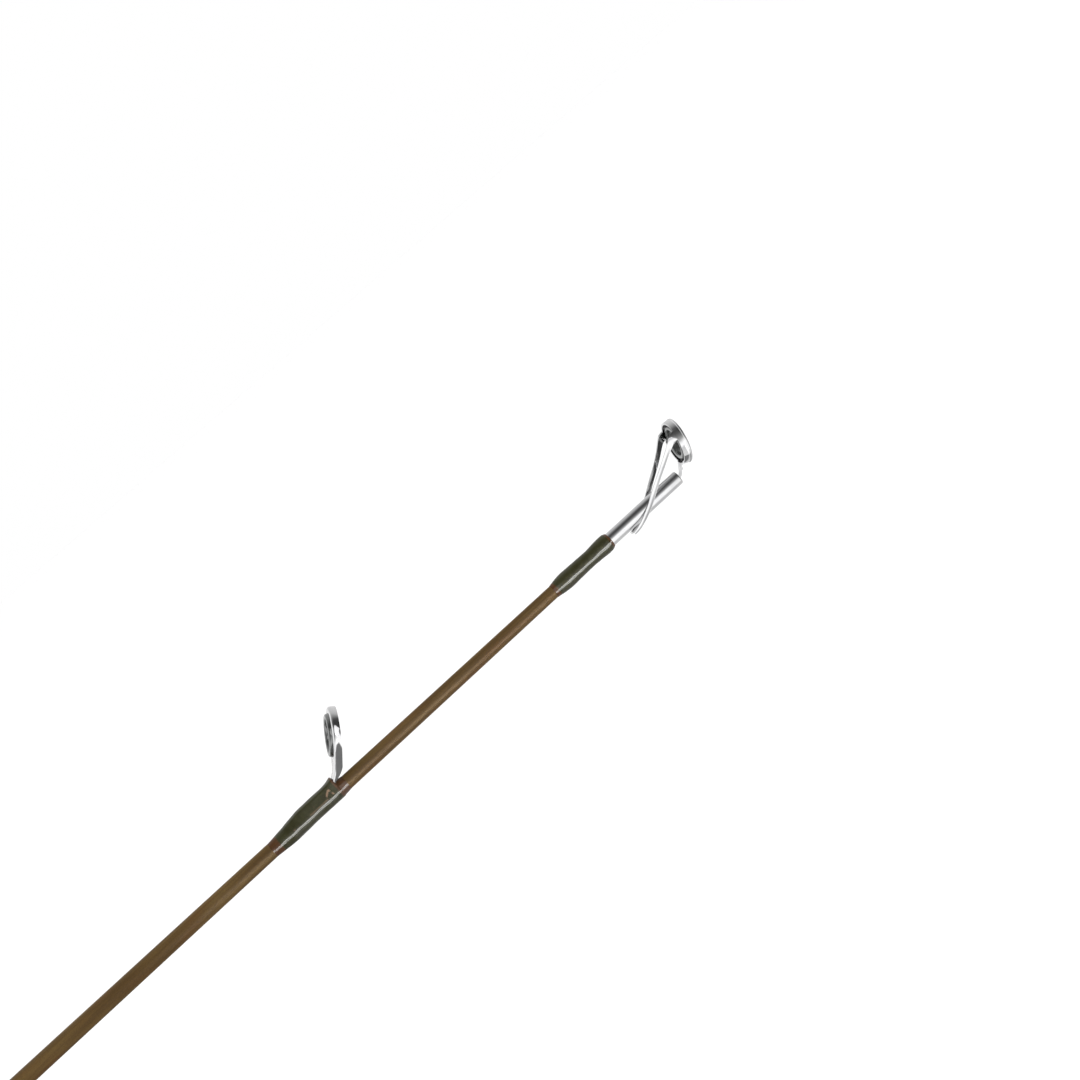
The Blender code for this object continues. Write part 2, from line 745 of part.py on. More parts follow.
def arch(x, margin, floor):
    half = pocket_outline(margin)
    right = [Vector((x, y, z)) for y, z in half]
    right[0].z = floor
    left = [Vector((x, -point.y, point.z)) for point in reversed(right[:-1])]
    return right + left


def pocket_tool(start, end, floor):
    return loose(solid_of([arch(start, 0.0, floor), arch(end, 0.0, floor)]))


def cushion_solid(start, end, floor, gap):
    # A soft liner that hugs the pocket's sides and roof.
    rings = []
    for x in (start, end):
        outside = arch(x, gap, floor)
        inside = arch(x, gap + CUSHION_WALL, floor)
        rings.append(outside + inside[::-1])
    return solid_of(rings)


def box_tool(low, high):
    rings = []
    for x in (low[0], high[0]):
        corners = ((low[1], low[2]), (high[1], low[2]), (high[1], high[2]), (low[1], high[2]))
        rings.append([Vector((x, y, z)) for y, z in corners])
    return loose(solid_of(rings))


def trigger_solid():
    # A finger spur with a hollowed front edge and a rounded end, widest at its root.
    # Each station is (x, z, half length, half width).
    stations = (
        (-18.5, -9.0, 9.5, 6.6),
        (-18.2, -12.6, 8.0, 6.2),
        (-17.8, -15.2, 5.6, 5.5),
        (-17.2, -18.5, 4.2, 4.9),
        (-16.2, -22.0, 3.5, 4.6),
        (-14.8, -25.4, 3.0, 4.3),
        (-13.4, -28.0, 2.5, 3.8),
        (-12.6, -29.4, 1.7, 2.7),
        (-12.3, -29.9, 0.7, 1.2),
    )
    rings = []
    for x, z, half_length, half_width in stations:
        ring = []
        for index in range(16):
            angle = 2 * math.pi * index / 16
            dx = half_length * MM * math.cos(angle)
            dy = half_width * MM * math.sin(angle)
            ring.append(Vector((x * MM + dx, dy, z * MM)))
        rings.append(ring)
    return solid_of(rings)


def build_reel_seat(rod):
    body = (
        (-62.0, 11.2, 11.2, 11.2, 1.0),
        (-57.0, 11.5, 12.2, 11.5, 1.0),
        (-50.0, 12.0, 15.2, 12.0, 0.95),
        (-43.0, 12.4, 17.2, 12.4, 0.90),
        (-36.0, 12.6, 18.0, 12.8, 0.88),
        (-31.0, 12.6, 18.2, 13.0, 0.88),
        (-30.4, 12.5, 12.6, 13.1, 0.92),
        (-20.0, 12.2, 12.4, 13.6, 0.95),
        (-9.0, 12.0, 12.2, 14.2, 0.97),
        (2.0, 11.8, 12.0, 13.4, 0.98),
        (8.6, 11.5, 11.8, 11.9, 1.0),
        (10.0, 10.9, 10.9, 10.9, 1.0),
    )
    rings = [oval(x * MM, s * MM, t * MM, b * MM, f) for x, s, t, b, f in body]
    seat = place("reel_seat", solid_of(rings), "seat", rod)
    barrel = cone_tool(BODY_FRONT_X - 6 * MM, SEAT_FRONT_X, BARREL_RADIUS, BARREL_RADIUS, SEAT_SIDES)
    combine(seat, barrel, "UNION")
    combine(seat, loose(trigger_solid()), "UNION")
    wide = 20 * MM
    deck = box_tool((HOOD_MOUTH_X, -wide, DECK_HEIGHT), (SEAT_FRONT_X + MM, wide, 30 * MM))
    combine(seat, deck, "DIFFERENCE")
    flat = box_tool((BODY_FRONT_X, -wide, BARREL_FLAT), (SEAT_FRONT_X + MM, wide, 30 * MM))
    combine(seat, flat, "DIFFERENCE")
    pocket = pocket_tool(HOOD_MOUTH_X - POCKET_DEPTH, HOOD_MOUTH_X + 0.8 * MM, BARREL_FLAT)
    combine(seat, pocket, "DIFFERENCE")
    bore = cone_tool(SEAT_REAR_X - MM, SEAT_FRONT_X + MM, SEAT_BORE, SEAT_BORE, SEAT_SIDES)
    combine(seat, bore, "DIFFERENCE")
    start = HOOD_MOUTH_X - POCKET_DEPTH + 0.1 * MM
    cushion = cushion_solid(start, HOOD_MOUTH_X - 0.3 * MM, BARREL_FLAT + 0.1 * MM, 0.1 * MM)
    place("fixed_hood_cushion", cushion, "cushion", rod)


def build_sliding_hood(carriage):
    # Local x runs from the hood's mouth towards the tip.
    collar_start = HOOD_LENGTH
    shell = (
        (0.0, 12.6, 18.2, 12.6, 0.88),
        (6.0, 12.6, 18.2, 12.6, 0.88),
        (11.5, 12.6, 17.8, 12.6, 0.88),
        (14.6, 12.6, 16.8, 12.6, 0.90),
        (16.9, 12.6, 14.6, 12.6, 0.97),
        (18.0, 12.3, 12.3, 12.3, 1.0),
    )
    rings = [oval(x * MM, s * MM, t * MM, b * MM, f) for x, s, t, b, f in shell]
    hood = place("sliding_hood", solid_of(rings), "seat", carriage)
    collar = (
        (collar_start - 2 * MM, COLLAR_RADIUS),
        (collar_start + 2.6 * MM, COLLAR_RADIUS),
        (collar_start + 2.6 * MM, SNAP_RADIUS),
        (collar_start + 3.6 * MM, SNAP_RADIUS),
    )
    rings = [around(x, radius, SEAT_SIDES) for x, radius in collar]
    combine(hood, loose(solid_of(rings)), "UNION")
    depth = 13.5 * MM
    bore = cone_tool(-MM, 24 * MM, HOOD_BORE, HOOD_BORE, SEAT_SIDES)
    key = box_tool((-2 * MM, -20 * MM, BARREL_FLAT + 0.3 * MM), (25 * MM, 20 * MM, 20 * MM))
    combine(bore, key, "DIFFERENCE")
    combine(hood, bore, "DIFFERENCE")
    combine(hood, pocket_tool(-0.8 * MM, depth, 4 * MM), "DIFFERENCE")
    cushion = cushion_solid(0.3 * MM, depth - 0.1 * MM, BARREL_FLAT + 0.3 * MM, 0.1 * MM)
    place("sliding_hood_cushion", cushion, "cushion", carriage)


def build_lock_nut(spindle):
    # Local x starts at the nut's rear edge. Its lip snaps over the hood's collar.
    length = NUT_FRONT_X - NUT_REAR_X
    sides = NUT_FLUTES * 4

    def fluted(depth):
        def radius(angle):
            wave = 0.5 + 0.5 * math.cos(NUT_FLUTES * angle)
            return NUT_RADIUS - depth * wave

        return radius

    profile = (
        (0.0, COLLAR_RADIUS + 0.3 * MM),
        (0.0, NUT_RADIUS - 0.6 * MM),
        (0.6 * MM, NUT_RADIUS),
        (3.2 * MM, NUT_RADIUS),
        (4.0 * MM, fluted(FLUTE_DEPTH)),
        (length - 2.0 * MM, fluted(FLUTE_DEPTH)),
        (length - 1.2 * MM, NUT_RADIUS - 0.7 * MM),
        (length, NUT_RADIUS - 1.3 * MM),
        (length, HOOD_BORE),
        (3.7 * MM, HOOD_BORE),
        (3.7 * MM, SNAP_RADIUS + 0.3 * MM),
        (2.0 * MM, SNAP_RADIUS + 0.3 * MM),
        (2.0 * MM, COLLAR_RADIUS + 0.3 * MM),
    )
    turned("lock_nut", profile, "seat", spindle, sides)


def keeper_path(blank):
    # A bent wire, feet on the blank and a flat-topped loop between them.
    seat = blank + GLUE_GAP + KEEPER_WIRE
    top = seat + KEEPER_RISE
    half = (
        (14.5, seat),
        (7.2, seat),
        (6.2, seat + 0.35 * MM),
        (5.6, seat + 1.4 * MM),
        (4.9, top - 1.4 * MM),
        (4.2, top - 0.35 * MM),
        (3.2, top),
    )
    rear = [(-x * MM, height) for x, height in half]
    front = [(x * MM, height) for x, height in reversed(half)]
    return rear + front


def wire(points, radius, sides=8):
    rings = []
    for index, (x, height) in enumerate(points):
        before = points[max(0, index - 1)]
        after = points[min(len(points) - 1, index + 1)]
        along = Vector((after[0] - before[0], 0.0, after[1] - before[1])).normalized()
        lift = Vector((-along.z, 0.0, along.x))
        ring = []
        for corner in range(sides):
            angle = 2 * math.pi * (corner + 0.5) / sides
            spoke = lift * math.cos(angle) + Vector((0.0, 1.0, 0.0)) * math.sin(angle)
            ring.append(Vector((x, 0.0, height)) + spoke * radius)
        rings.append(ring)
    return solid_of(rings)


def build_hook_keeper():
    holder = station("hook_keeper_station", KEEPER_X, (math.pi, 0.0, 0.0))
    blank = blank_radius(KEEPER_X)
    path = keeper_path(blank)
    keeper = place("hook_keeper", wire(path, KEEPER_WIRE), "steel", holder)
    reach = 30 * MM
    saddle = cone_tool(
        -reach,
        reach,
        blank_radius(KEEPER_X - reach) + GLUE_GAP,
        blank_radius(KEEPER_X + reach) + GLUE_GAP,
    )
    combine(keeper, saddle, "DIFFERENCE")
    edge = 0.11 * MM
    over = 2 * KEEPER_WIRE + GLUE_GAP
    wrap = (
        (8.2, edge, edge),
        (8.7, THREAD, THREAD + over),
        (14.0, THREAD, THREAD + over),
        (16.2, 0.36 * MM, 0.42 * MM),
        (18.2, 0.24 * MM, 0.24 * MM),
        (19.4, edge, edge),
    )
    for name, side in (("hook_keeper_rear_wrap", -1), ("hook_keeper_front_wrap", 1)):
        stations = [(side * x * MM, blank + base, blank + top) for x, base, top in wrap]
        stations.sort()
        bore_start = blank_radius(KEEPER_X + stations[0][0]) + GLUE_GAP
        bore_end = blank_radius(KEEPER_X + stations[-1][0]) + GLUE_GAP
        solid = wrap_solid(stations, bore_start, bore_end, math.radians(7))
        piece = place(name, solid, "thread", holder)
        slot = wire(path, KEEPER_WIRE + GLUE_GAP)
        combine(piece, loose(slot), "DIFFERENCE")


def guide_places():
    # Ring centres from the tip-top towards the reel, each gap a little longer than the last.
    places = []
    x = tube_end_x() + TIP_RING_X
    gap = FIRST_SPACING
    for _ in range(len(RUNNER_SIZES) + 1):
        x -= gap
        places.append(x)
        gap *= SPACING_GROWTH
    return places


def build_rod():
    clear_scene()
    rod = station("rod", 0.0)
    build_blank(rod)
    build_handle(rod)
    build_reel_seat(rod)
    carriage = station("hood_carriage", HOOD_REST_X)
    build_sliding_hood(carriage)
    spindle = station("nut_spindle", NUT_REAR_X - HOOD_REST_X, parent=carriage)
    build_lock_nut(spindle)
    build_hook_keeper()
    places = guide_places()
    for index, size in enumerate(RUNNER_SIZES):
        build_guide(f"runner_{index + 1}", places[index], size)
    build_guide("butt_guide", places[-1], BUTT_GUIDE_SIZE, double=True)
    build_tip_top(station("tip_top_station", tube_end_x()))


build_rod()
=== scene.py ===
import json
import math

import bmesh
import bpy
from mathutils import Matrix, Vector

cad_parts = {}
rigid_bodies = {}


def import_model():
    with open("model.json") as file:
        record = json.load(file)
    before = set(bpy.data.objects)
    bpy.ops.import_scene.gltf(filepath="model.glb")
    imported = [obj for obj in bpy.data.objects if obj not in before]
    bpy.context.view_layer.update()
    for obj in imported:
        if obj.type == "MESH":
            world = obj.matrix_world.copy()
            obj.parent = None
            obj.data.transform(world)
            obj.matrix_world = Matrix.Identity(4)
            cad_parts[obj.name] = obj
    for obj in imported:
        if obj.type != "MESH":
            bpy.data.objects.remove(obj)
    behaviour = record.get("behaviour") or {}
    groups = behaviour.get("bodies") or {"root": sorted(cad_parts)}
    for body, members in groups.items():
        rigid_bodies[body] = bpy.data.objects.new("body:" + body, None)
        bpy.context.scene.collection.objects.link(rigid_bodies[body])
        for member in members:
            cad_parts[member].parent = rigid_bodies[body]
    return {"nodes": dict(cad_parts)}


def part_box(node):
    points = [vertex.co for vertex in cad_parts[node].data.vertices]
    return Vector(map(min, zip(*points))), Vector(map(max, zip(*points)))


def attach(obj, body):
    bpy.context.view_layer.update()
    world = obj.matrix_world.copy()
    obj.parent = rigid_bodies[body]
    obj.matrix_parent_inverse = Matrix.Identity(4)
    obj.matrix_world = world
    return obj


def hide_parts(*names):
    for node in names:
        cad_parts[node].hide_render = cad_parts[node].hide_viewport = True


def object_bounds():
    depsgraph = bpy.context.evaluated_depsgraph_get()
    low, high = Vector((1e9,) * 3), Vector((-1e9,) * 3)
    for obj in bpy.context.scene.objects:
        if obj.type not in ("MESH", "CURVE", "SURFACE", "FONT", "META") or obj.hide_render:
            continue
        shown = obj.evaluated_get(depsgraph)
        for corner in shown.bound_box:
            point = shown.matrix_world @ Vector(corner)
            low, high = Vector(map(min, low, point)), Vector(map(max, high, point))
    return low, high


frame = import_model()
cadLow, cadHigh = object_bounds()
bpy.context.scene.view_settings.view_transform = "Standard"
print("frame loaded:", len(frame["nodes"]), "nodes")

mm = 0.001
axisHeight = -10 * mm  # the rod's axis lies this far below the reel deck
weldWithin = 0.002 * mm  # points closer than this are one
crispFrom = 38  # degrees: sharper edges aren't shaded smooth
roundSides = 96


def startEditing():
    bpy.ops.object.mode_set(mode="EDIT")


def leaveEditing():
    bpy.ops.object.mode_set(mode="OBJECT")


def clearSelection():
    if bpy.context.object and bpy.context.object.mode != "OBJECT":
        leaveEditing()
    bpy.ops.object.select_all(action="DESELECT")


def selectAll():
    bpy.ops.mesh.select_all(action="SELECT")


def deselectAll():
    bpy.ops.mesh.select_all(action="DESELECT")


def editedMesh():
    return bmesh.from_edit_mesh(bpy.context.edit_object.data)


def showEdits():
    bmesh.update_edit_mesh(bpy.context.edit_object.data)


def extrudeBy(step):
    bpy.ops.mesh.extrude_region_move(TRANSFORM_OT_translate={"value": step})


def makeActive(piece):
    clearSelection()
    piece.select_set(True)
    bpy.context.view_layer.objects.active = piece


def onRod(x, side, height):  # a place in mm from the rod's axis
    return Vector((x * mm, side * mm, axisHeight + height * mm))


def called(piece, name):
    piece.name = name
    piece.data.name = name
    return piece


def startPoint(name, at):  # a plane merged to one point, left in edit mode
    clearSelection()
    bpy.ops.mesh.primitive_plane_add(size=mm, location=(0, 0, 0))
    piece = called(bpy.context.active_object, name)
    startEditing()
    bpy.ops.mesh.select_mode(type="VERT")
    selectAll()
    bpy.ops.mesh.merge(type="CENTER")
    bpy.ops.transform.translate(value=at)
    return piece


def drawLine(name, points):  # one point extruded from place to place
    piece = startPoint(name, points[0])
    for here, there in zip(points, points[1:]):
        extrudeBy(there - here)
    return piece


def closeMesh():
    selectAll()
    bpy.ops.mesh.remove_doubles(threshold=weldWithin)
    bpy.ops.mesh.normals_make_consistent(inside=False)


def spinLine(name, points, sides, centre, axis, closed=True):  # an outline turned all the way round
    piece = drawLine(name, list(points) + [points[0]] if closed else points)
    selectAll()
    bpy.ops.mesh.spin(steps=sides, angle=2 * math.pi, center=centre, axis=axis)
    closeMesh()
    leaveEditing()
    return piece


def turnOnRod(name, outline, sides=roundSides):  # outline: (x, radius) in mm, from the rod's axis
    points = [onRod(x, 0, radius) for x, radius in outline]
    return spinLine(name, points, sides, (0, 0, axisHeight), (1, 0, 0))


def applyModifier(piece, modifier):
    makeActive(piece)
    bpy.ops.object.modifier_apply(modifier=modifier.name)


def softenEdges(piece, width, segments=2, angle=30):
    bevel = piece.modifiers.new("softEdges", "BEVEL")
    bevel.width = width * mm
    bevel.segments = segments
    bevel.limit_method = "ANGLE"
    bevel.angle_limit = math.radians(angle)
    applyModifier(piece, bevel)


def mirrorAcross(piece):
    mirror = piece.modifiers.new("otherSide", "MIRROR")
    mirror.use_axis = (False, True, False)
    mirror.merge_threshold = 5 * weldWithin
    applyModifier(piece, mirror)


def giveWall(piece, thickness):  # inwards from the drawn face
    wall = piece.modifiers.new("wall", "SOLIDIFY")
    wall.thickness = thickness * mm
    wall.offset = -1
    wall.use_quality_normals = True
    applyModifier(piece, wall)


def flowing(points, steps):  # a smooth run through the given rows of numbers
    found = []
    for index in range(len(points) - 1):
        before = points[max(0, index - 1)]
        after = points[min(len(points) - 1, index + 2)]
        for step in range(steps):
            t = step / steps
            row = []
            for a, b, c, d in zip(before, points[index], points[index + 1], after):
                bend = (c - a) * t + (2 * a - 5 * b + 4 * c - d) * t ** 2 + (3 * b - 3 * c + d - a) * t ** 3
                row.append(b + bend / 2)
            found.append(tuple(row))
    return found + [tuple(points[-1])]


def pick(test, rimOnly=False):  # selects points, or open edges by their middle
    mesh = editedMesh()
    deselectAll()
    if rimOnly:
        for edge in mesh.edges:
            if edge.is_boundary and test((edge.verts[0].co + edge.verts[1].co) / 2):
                edge.select_set(True)
    else:
        for vertex in mesh.verts:
            if test(vertex.co):
                vertex.select_set(True)
        mesh.select_flush_mode()
    showEdits()


def growRow(step, centre, turn=0.0, across=(1, 1, 1)):  # extrudes the picked row, turns and sizes it
    extrudeBy(step)
    if turn:  # degrees, the row's top towards the butt
        bpy.ops.transform.rotate(value=math.radians(turn), orient_axis="Y", center_override=centre)
    if across != (1, 1, 1):
        bpy.ops.transform.resize(value=across, center_override=centre)


def growAlong(rows, here, width, sizes, tilt=0.0, after=None):
    # rows: place, half width and slope in degrees; sizes: from a row's number and its width as a share
    # of the last one's
    for index, (there, half, slope) in enumerate(rows):
        growRow(there - here, there, slope - tilt, sizes(index, half / width))
        if after:
            after(index, there, slope)
        here, width, tilt = there, half, slope


def faceOutwards(piece, test, outward):  # turns the shell over if the face at a known place looks in
    makeActive(piece)
    for face in piece.data.polygons:
        if test(face.center):
            if face.normal.dot(outward) < 0:
                startEditing()
                selectAll()
                bpy.ops.mesh.flip_normals()
                leaveEditing()
            return


def standPiece(piece, centre, axes, scale=1.0):  # from a ring's own axes to its place on the rod
    turn = Matrix(axes).transposed().to_4x4()
    piece.matrix_world = Matrix.Translation(centre) @ turn @ Matrix.Scale(scale, 4)
    makeActive(piece)
    bpy.ops.object.transform_apply(location=True, rotation=True, scale=True)


def leaningAxes(degrees):  # across the rod, up the lean, and forward through the ring
    lean = math.radians(degrees)
    across = Vector((0, 1, 0))
    up = Vector((math.sin(lean), 0, math.cos(lean)))
    forward = Vector((math.cos(lean), 0, -math.sin(lean)))
    return across, up, forward


def copyPiece(piece, name):
    makeActive(piece)
    bpy.ops.object.duplicate(linked=False)
    return called(bpy.context.active_object, name)


def copyNode(node, name):  # a node's loose triangles, merged into one skin
    mesh = bpy.data.objects[node].data.copy()
    mesh.materials.clear()
    piece = bpy.data.objects.new(name, mesh)
    bpy.context.scene.collection.objects.link(piece)
    makeActive(piece)
    startEditing()
    selectAll()
    bpy.ops.mesh.remove_doubles(threshold=2 * weldWithin)
    leaveEditing()
    return piece


def dress(piece, finish, body, node):
    makeActive(piece)
    bpy.ops.object.shade_smooth_by_angle(angle=math.radians(crispFrom))
    piece.data.materials.clear()
    piece.data.materials.append(finishes[finish])
    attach(piece, body)
    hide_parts(node)


class Wire:  # a socket that can be used in sums
    def __init__(self, finish, socket):
        self.finish = finish
        self.socket = socket

    def reckon(self, operation, first, second):
        return self.finish.node("ShaderNodeMath", {"operation": operation}, {0: first, 1: second})

    def __add__(self, other):
        return self.reckon("ADD", self, other)

    __radd__ = __add__

    def __sub__(self, other):
        return self.reckon("SUBTRACT", self, other)

    def __rsub__(self, other):
        return self.reckon("SUBTRACT", other, self)

    def __mul__(self, other):
        return self.reckon("MULTIPLY", self, other)

    __rmul__ = __mul__

    def __truediv__(self, other):
        return self.reckon("DIVIDE", self, other)


class Finish:  # the nodes of one material, or of the world
    def __init__(self, tree):
        self.tree = tree

    def node(self, kind, settings=None, inputs=None, output=0):
        made = self.tree.nodes.new(kind)
        for key, value in (settings or {}).items():
            if key == "stops":
                self.setStops(made.color_ramp, value)
            else:
                setattr(made, key, value)
        for key, value in (inputs or {}).items():
            self.feed(made.inputs[key], value)
        return Wire(self, made.outputs[output])

    def setStops(self, ramp, stops):
        while len(ramp.elements) < len(stops):
            ramp.elements.new(0.5)
        for element, (position, colour) in zip(ramp.elements, stops):
            element.position = position
            element.color = (*colour, 1.0)

    def feed(self, socket, value):
        if isinstance(value, Wire):
            self.tree.links.new(value.socket, socket)
        else:
            socket.default_value = value

    def outputs(self, wire, *labels):  # other sockets of the node behind a wire
        return [Wire(self, wire.socket.node.outputs[label]) for label in labels]

    def place(self):
        return self.node("ShaderNodeTexCoord", output="Object")

    def stretched(self, scale):
        return self.node("ShaderNodeMapping", {}, {"Vector": self.place(), "Scale": scale})

    def noise(self, vector, scale, detail=3.0, roughness=0.55):
        inputs = {"Vector": vector, "Scale": scale, "Detail": detail, "Roughness": roughness}
        return self.node("ShaderNodeTexNoise", {}, inputs)

    def cells(self, vector, scale, feature="F1"):
        return self.node("ShaderNodeTexVoronoi", {"feature": feature}, {"Vector": vector, "Scale": scale})

    def between(self, value, low, high, start=0.0, end=1.0):  # a smooth step from low to high
        inputs = {"Value": value, "From Min": low, "From Max": high, "To Min": start, "To Max": end}
        return self.node("ShaderNodeMapRange", {"interpolation_type": "SMOOTHSTEP"}, inputs)

    def mixColour(self, factor, first, second, blend="MIX"):
        settings = {"data_type": "RGBA", "blend_type": blend}
        sockets = {0: factor, 6: asColour(first), 7: asColour(second)}  # 6, 7 and output 2 are the colours
        return self.node("ShaderNodeMix", settings, sockets, 2)

    def bump(self, height, strength, distance):
        inputs = {"Height": height, "Strength": strength, "Distance": distance * mm}
        return self.node("ShaderNodeBump", {}, inputs)


class Paint(Finish):  # a material with one Principled shader
    def __init__(self, name, **sockets):
        self.material = bpy.data.materials.new(name)
        self.material.use_nodes = True
        super().__init__(self.material.node_tree)
        self.shader = self.tree.nodes["Principled BSDF"]
        for label, value in sockets.items():
            self.shader.inputs[label.replace("_", " ")].default_value = value

    def drive(self, label, value):
        self.feed(self.shader.inputs[label], value)

    def mottle(self, pattern, low, high, tone):  # from the deep colour to the pale one as the pattern rises
        self.drive("Base Color", self.mixColour(self.between(pattern, low, high), *tone))

    def surface(self, roughness, relief, strength, depth):  # the depth is in mm
        self.drive("Roughness", roughness)
        self.drive("Normal", self.bump(relief, strength, depth))
        return self.material


def asColour(value):
    return value if isinstance(value, Wire) else (*value, 1.0)


def fromScreen(red, green, blue):  # a colour as a screen shows it, 0 to 255, as light
    def light(level):
        level = level / 255
        return level / 12.92 if level <= 0.04045 else ((level + 0.055) / 1.055) ** 2.4

    return light(red), light(green), light(blue)


view = {
    "focal": 57.67,
    "distance": 317 * mm,
    "turn": 8.5,
    "tilt": -11.0,
    "roll": 42.38,
    "behindTubeEnd": 27.07 * mm,
    "above": 47.3 / 1730,
}


def addCamera():
    turn = math.radians(view["turn"])
    tilt = math.radians(view["tilt"])
    roll = math.radians(view["roll"])
    ahead = Vector((math.sin(turn), math.cos(turn) * math.cos(tilt), math.cos(turn) * math.sin(tilt)))
    alongRod = Vector((math.cos(turn), -math.sin(turn) * math.cos(tilt), -math.sin(turn) * math.sin(tilt)))
    guideSide = Vector((0, -math.sin(tilt), math.cos(tilt)))
    right = alongRod * math.cos(roll) - guideSide * math.sin(roll)
    up = alongRod * math.sin(roll) + guideSide * math.cos(roll)
    target = Vector((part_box("tip_tube")[1].x - view["behindTubeEnd"], 0, axisHeight))
    place = target + (guideSide * view["above"] - ahead) * view["distance"]
    lens = bpy.data.cameras.new("camera")
    lens.lens = view["focal"]
    lens.sensor_width = 36
    lens.clip_start = 0.01
    lens.clip_end = 50
    camera = bpy.data.objects.new("camera", lens)
    bpy.context.scene.collection.objects.link(camera)
    camera.matrix_world = Matrix.Translation(place) @ Matrix((right, up, -ahead)).transposed().to_4x4()
    bpy.context.scene.camera = camera


stageLook = {
    "floorDrop": 0.2 * mm,
    "floorSize": 12.0,
    "floorColour": (0.90, 0.90, 0.90),
    "floorShown": 0.12,
    "daylight": 1.0,
    "mirrored": (  # what metal shows round the rod's axis, by degrees above the camera's side
        (-150, 0.94), (-117, 0.88), (-89, 0.76), (-66, 0.92), (-52, 1.6), (-10, 1.7), (0, 1.25), (12, 0.56),
        (26, 0.27), (41, 0.13), (56, 0.08), (73, 0.14), (91, 0.42), (111, 0.72), (139, 0.88), (180, 0.92),
    ),
    "rearGlow": 1.3,  # what leans to the butt mirrors a bright room above and a dark one below
    "rearDusk": 0.26,
    "frontDusk": 0.06,
    "glowFades": ((0.20, 0.38), (-0.70, -0.40), (-0.30, -0.15), (0.95, 0.75)),  # to the butt, back, up, up
    "rearFades": ((0.04, 0.11), (0.38, 0.45)),  # to the butt, down
    "frontFades": ((0.33, 0.46), (0.2, 0.5)),  # to the tip, towards the camera
}


def addFloor():
    clearSelection()
    level = cadLow.z - stageLook["floorDrop"]
    size = stageLook["floorSize"]
    bpy.ops.mesh.primitive_grid_add(x_subdivisions=8, y_subdivisions=8, size=size, location=(0.7, 0, level))
    floor = bpy.context.active_object
    floor.name = "studioFloor"
    paint = Paint("studioWhite", Roughness=0.9, Emission_Strength=1.0)
    paint.drive("Base Color", asColour(stageLook["floorColour"]))
    path = paint.node("ShaderNodeLightPath")
    camera, glossy, through = paint.outputs(path, "Is Camera Ray", "Is Glossy Ray", "Is Transmission Ray")
    shown = (stageLook["floorShown"],) * 3
    paint.drive("Emission Color", paint.mixColour(camera + glossy + through, (0, 0, 0), shown))
    floor.data.materials.append(paint.material)
    floor.visible_glossy = False  # metal mirrors the studio's gradient instead


def setWorld():
    world = bpy.data.worlds.new("studio")
    bpy.context.scene.world = world
    world.use_nodes = True
    sky = Finish(world.node_tree)
    background = world.node_tree.nodes["Background"]
    way = sky.node("ShaderNodeTexCoord", output="Generated")
    along, back, height = sky.outputs(sky.node("ShaderNodeSeparateXYZ", {}, {0: way}), 0, 1, 2)
    angle = sky.node("ShaderNodeMath", {"operation": "ARCTAN2"}, {0: height, 1: 0 - back})
    stops = [((degrees / 180 + 1) / 2, (level, level, level)) for degrees, level in stageLook["mirrored"]]
    ramp = sky.node("ShaderNodeValToRGB", {"stops": stops}, {0: (angle / math.pi + 1) / 2})
    patches = (
        ("rearGlow", "glowFades", (0 - along, back, height, height)),
        ("frontDusk", "frontFades", (along, 0 - back)),
        ("rearDusk", "rearFades", (0 - along, 0 - height)),
    )
    for level, fades, directions in patches:
        mask = 1
        for direction, fade in zip(directions, stageLook[fades]):
            mask = sky.between(direction, *fade) * mask
        ramp = sky.mixColour(mask, ramp, (stageLook[level],) * 3)
    path = sky.node("ShaderNodeLightPath")
    camera, glossy, through = sky.outputs(path, "Is Camera Ray", "Is Glossy Ray", "Is Transmission Ray")
    lit = sky.mixColour(glossy, (stageLook["daylight"],) * 3, ramp)
    sky.feed(background.inputs["Color"], sky.mixColour(camera + through, lit, (1, 1, 1)))
    background.inputs["Strength"].default_value = 1.0


lamps = {  # in metres: from where to where, what it is turned towards, width, and how bright
    "softBox": ((-0.4, 0.5, 1.2), (2.0, 0.5, 1.2), (0.8, 0, 0), 1.0, 0.5),
    "ringCard": ((1.598, -0.062, 0.012), (1.640, -0.062, 0.030), (1.602, 0, -0.002), 0.040, 1.5),
    "tipCard": ((1.660, -0.021, -0.029), (1.684, -0.021, -0.029), (1.682, -0.004, -0.006), 0.030, 0.75),
    "glintStrip": ((1.56, -0.0525, -0.0205), (1.72, -0.0350, -0.0290), (1.6, 0, -0.010), 0.0120, 15.0),
    "lowGlintStrip": ((1.56, -0.0462, -0.0337), (1.70, -0.0300, -0.0362), (1.6, 0, -0.010), 0.0070, 15.0),
    "warmGlint": ((1.56, -0.30, 0.050), (1.58, -0.30, 0.050), (1.6, 0, -0.010), 0.030, 9.0),
}
lampColours = {"warmGlint": (1, 0.6, 0.42)}


def addLamp(name, start, end, aim, width, brightness):  # a flat lamp
    start, end, aim = Vector(start), Vector(end), Vector(aim)
    light = bpy.data.lights.new(name, "AREA")
    light.shape = "RECTANGLE"
    light.size = (end - start).length
    light.size_y = width
    light.energy = brightness * math.pi * light.size * width
    light.color = lampColours.get(name, (1, 1, 1))
    lamp = bpy.data.objects.new(name, light)
    bpy.context.scene.collection.objects.link(lamp)
    place = (start + end) / 2
    side = (end - start).normalized()
    back = place - aim
    back = (back - side * back.dot(side)).normalized()
    turn = Matrix((side, back.cross(side), back)).transposed().to_4x4()
    lamp.matrix_world = Matrix.Translation(place) @ turn
    fills = name == "softBox"  # it lights the pieces and isn't mirrored, and the others only shine
    lamp.visible_camera = False
    lamp.visible_glossy = not fills
    lamp.visible_diffuse = fills


addCamera()
addFloor()
setWorld()
for name, settings in lamps.items():
    addLamp(name, *settings)
print("camera and stage are set")


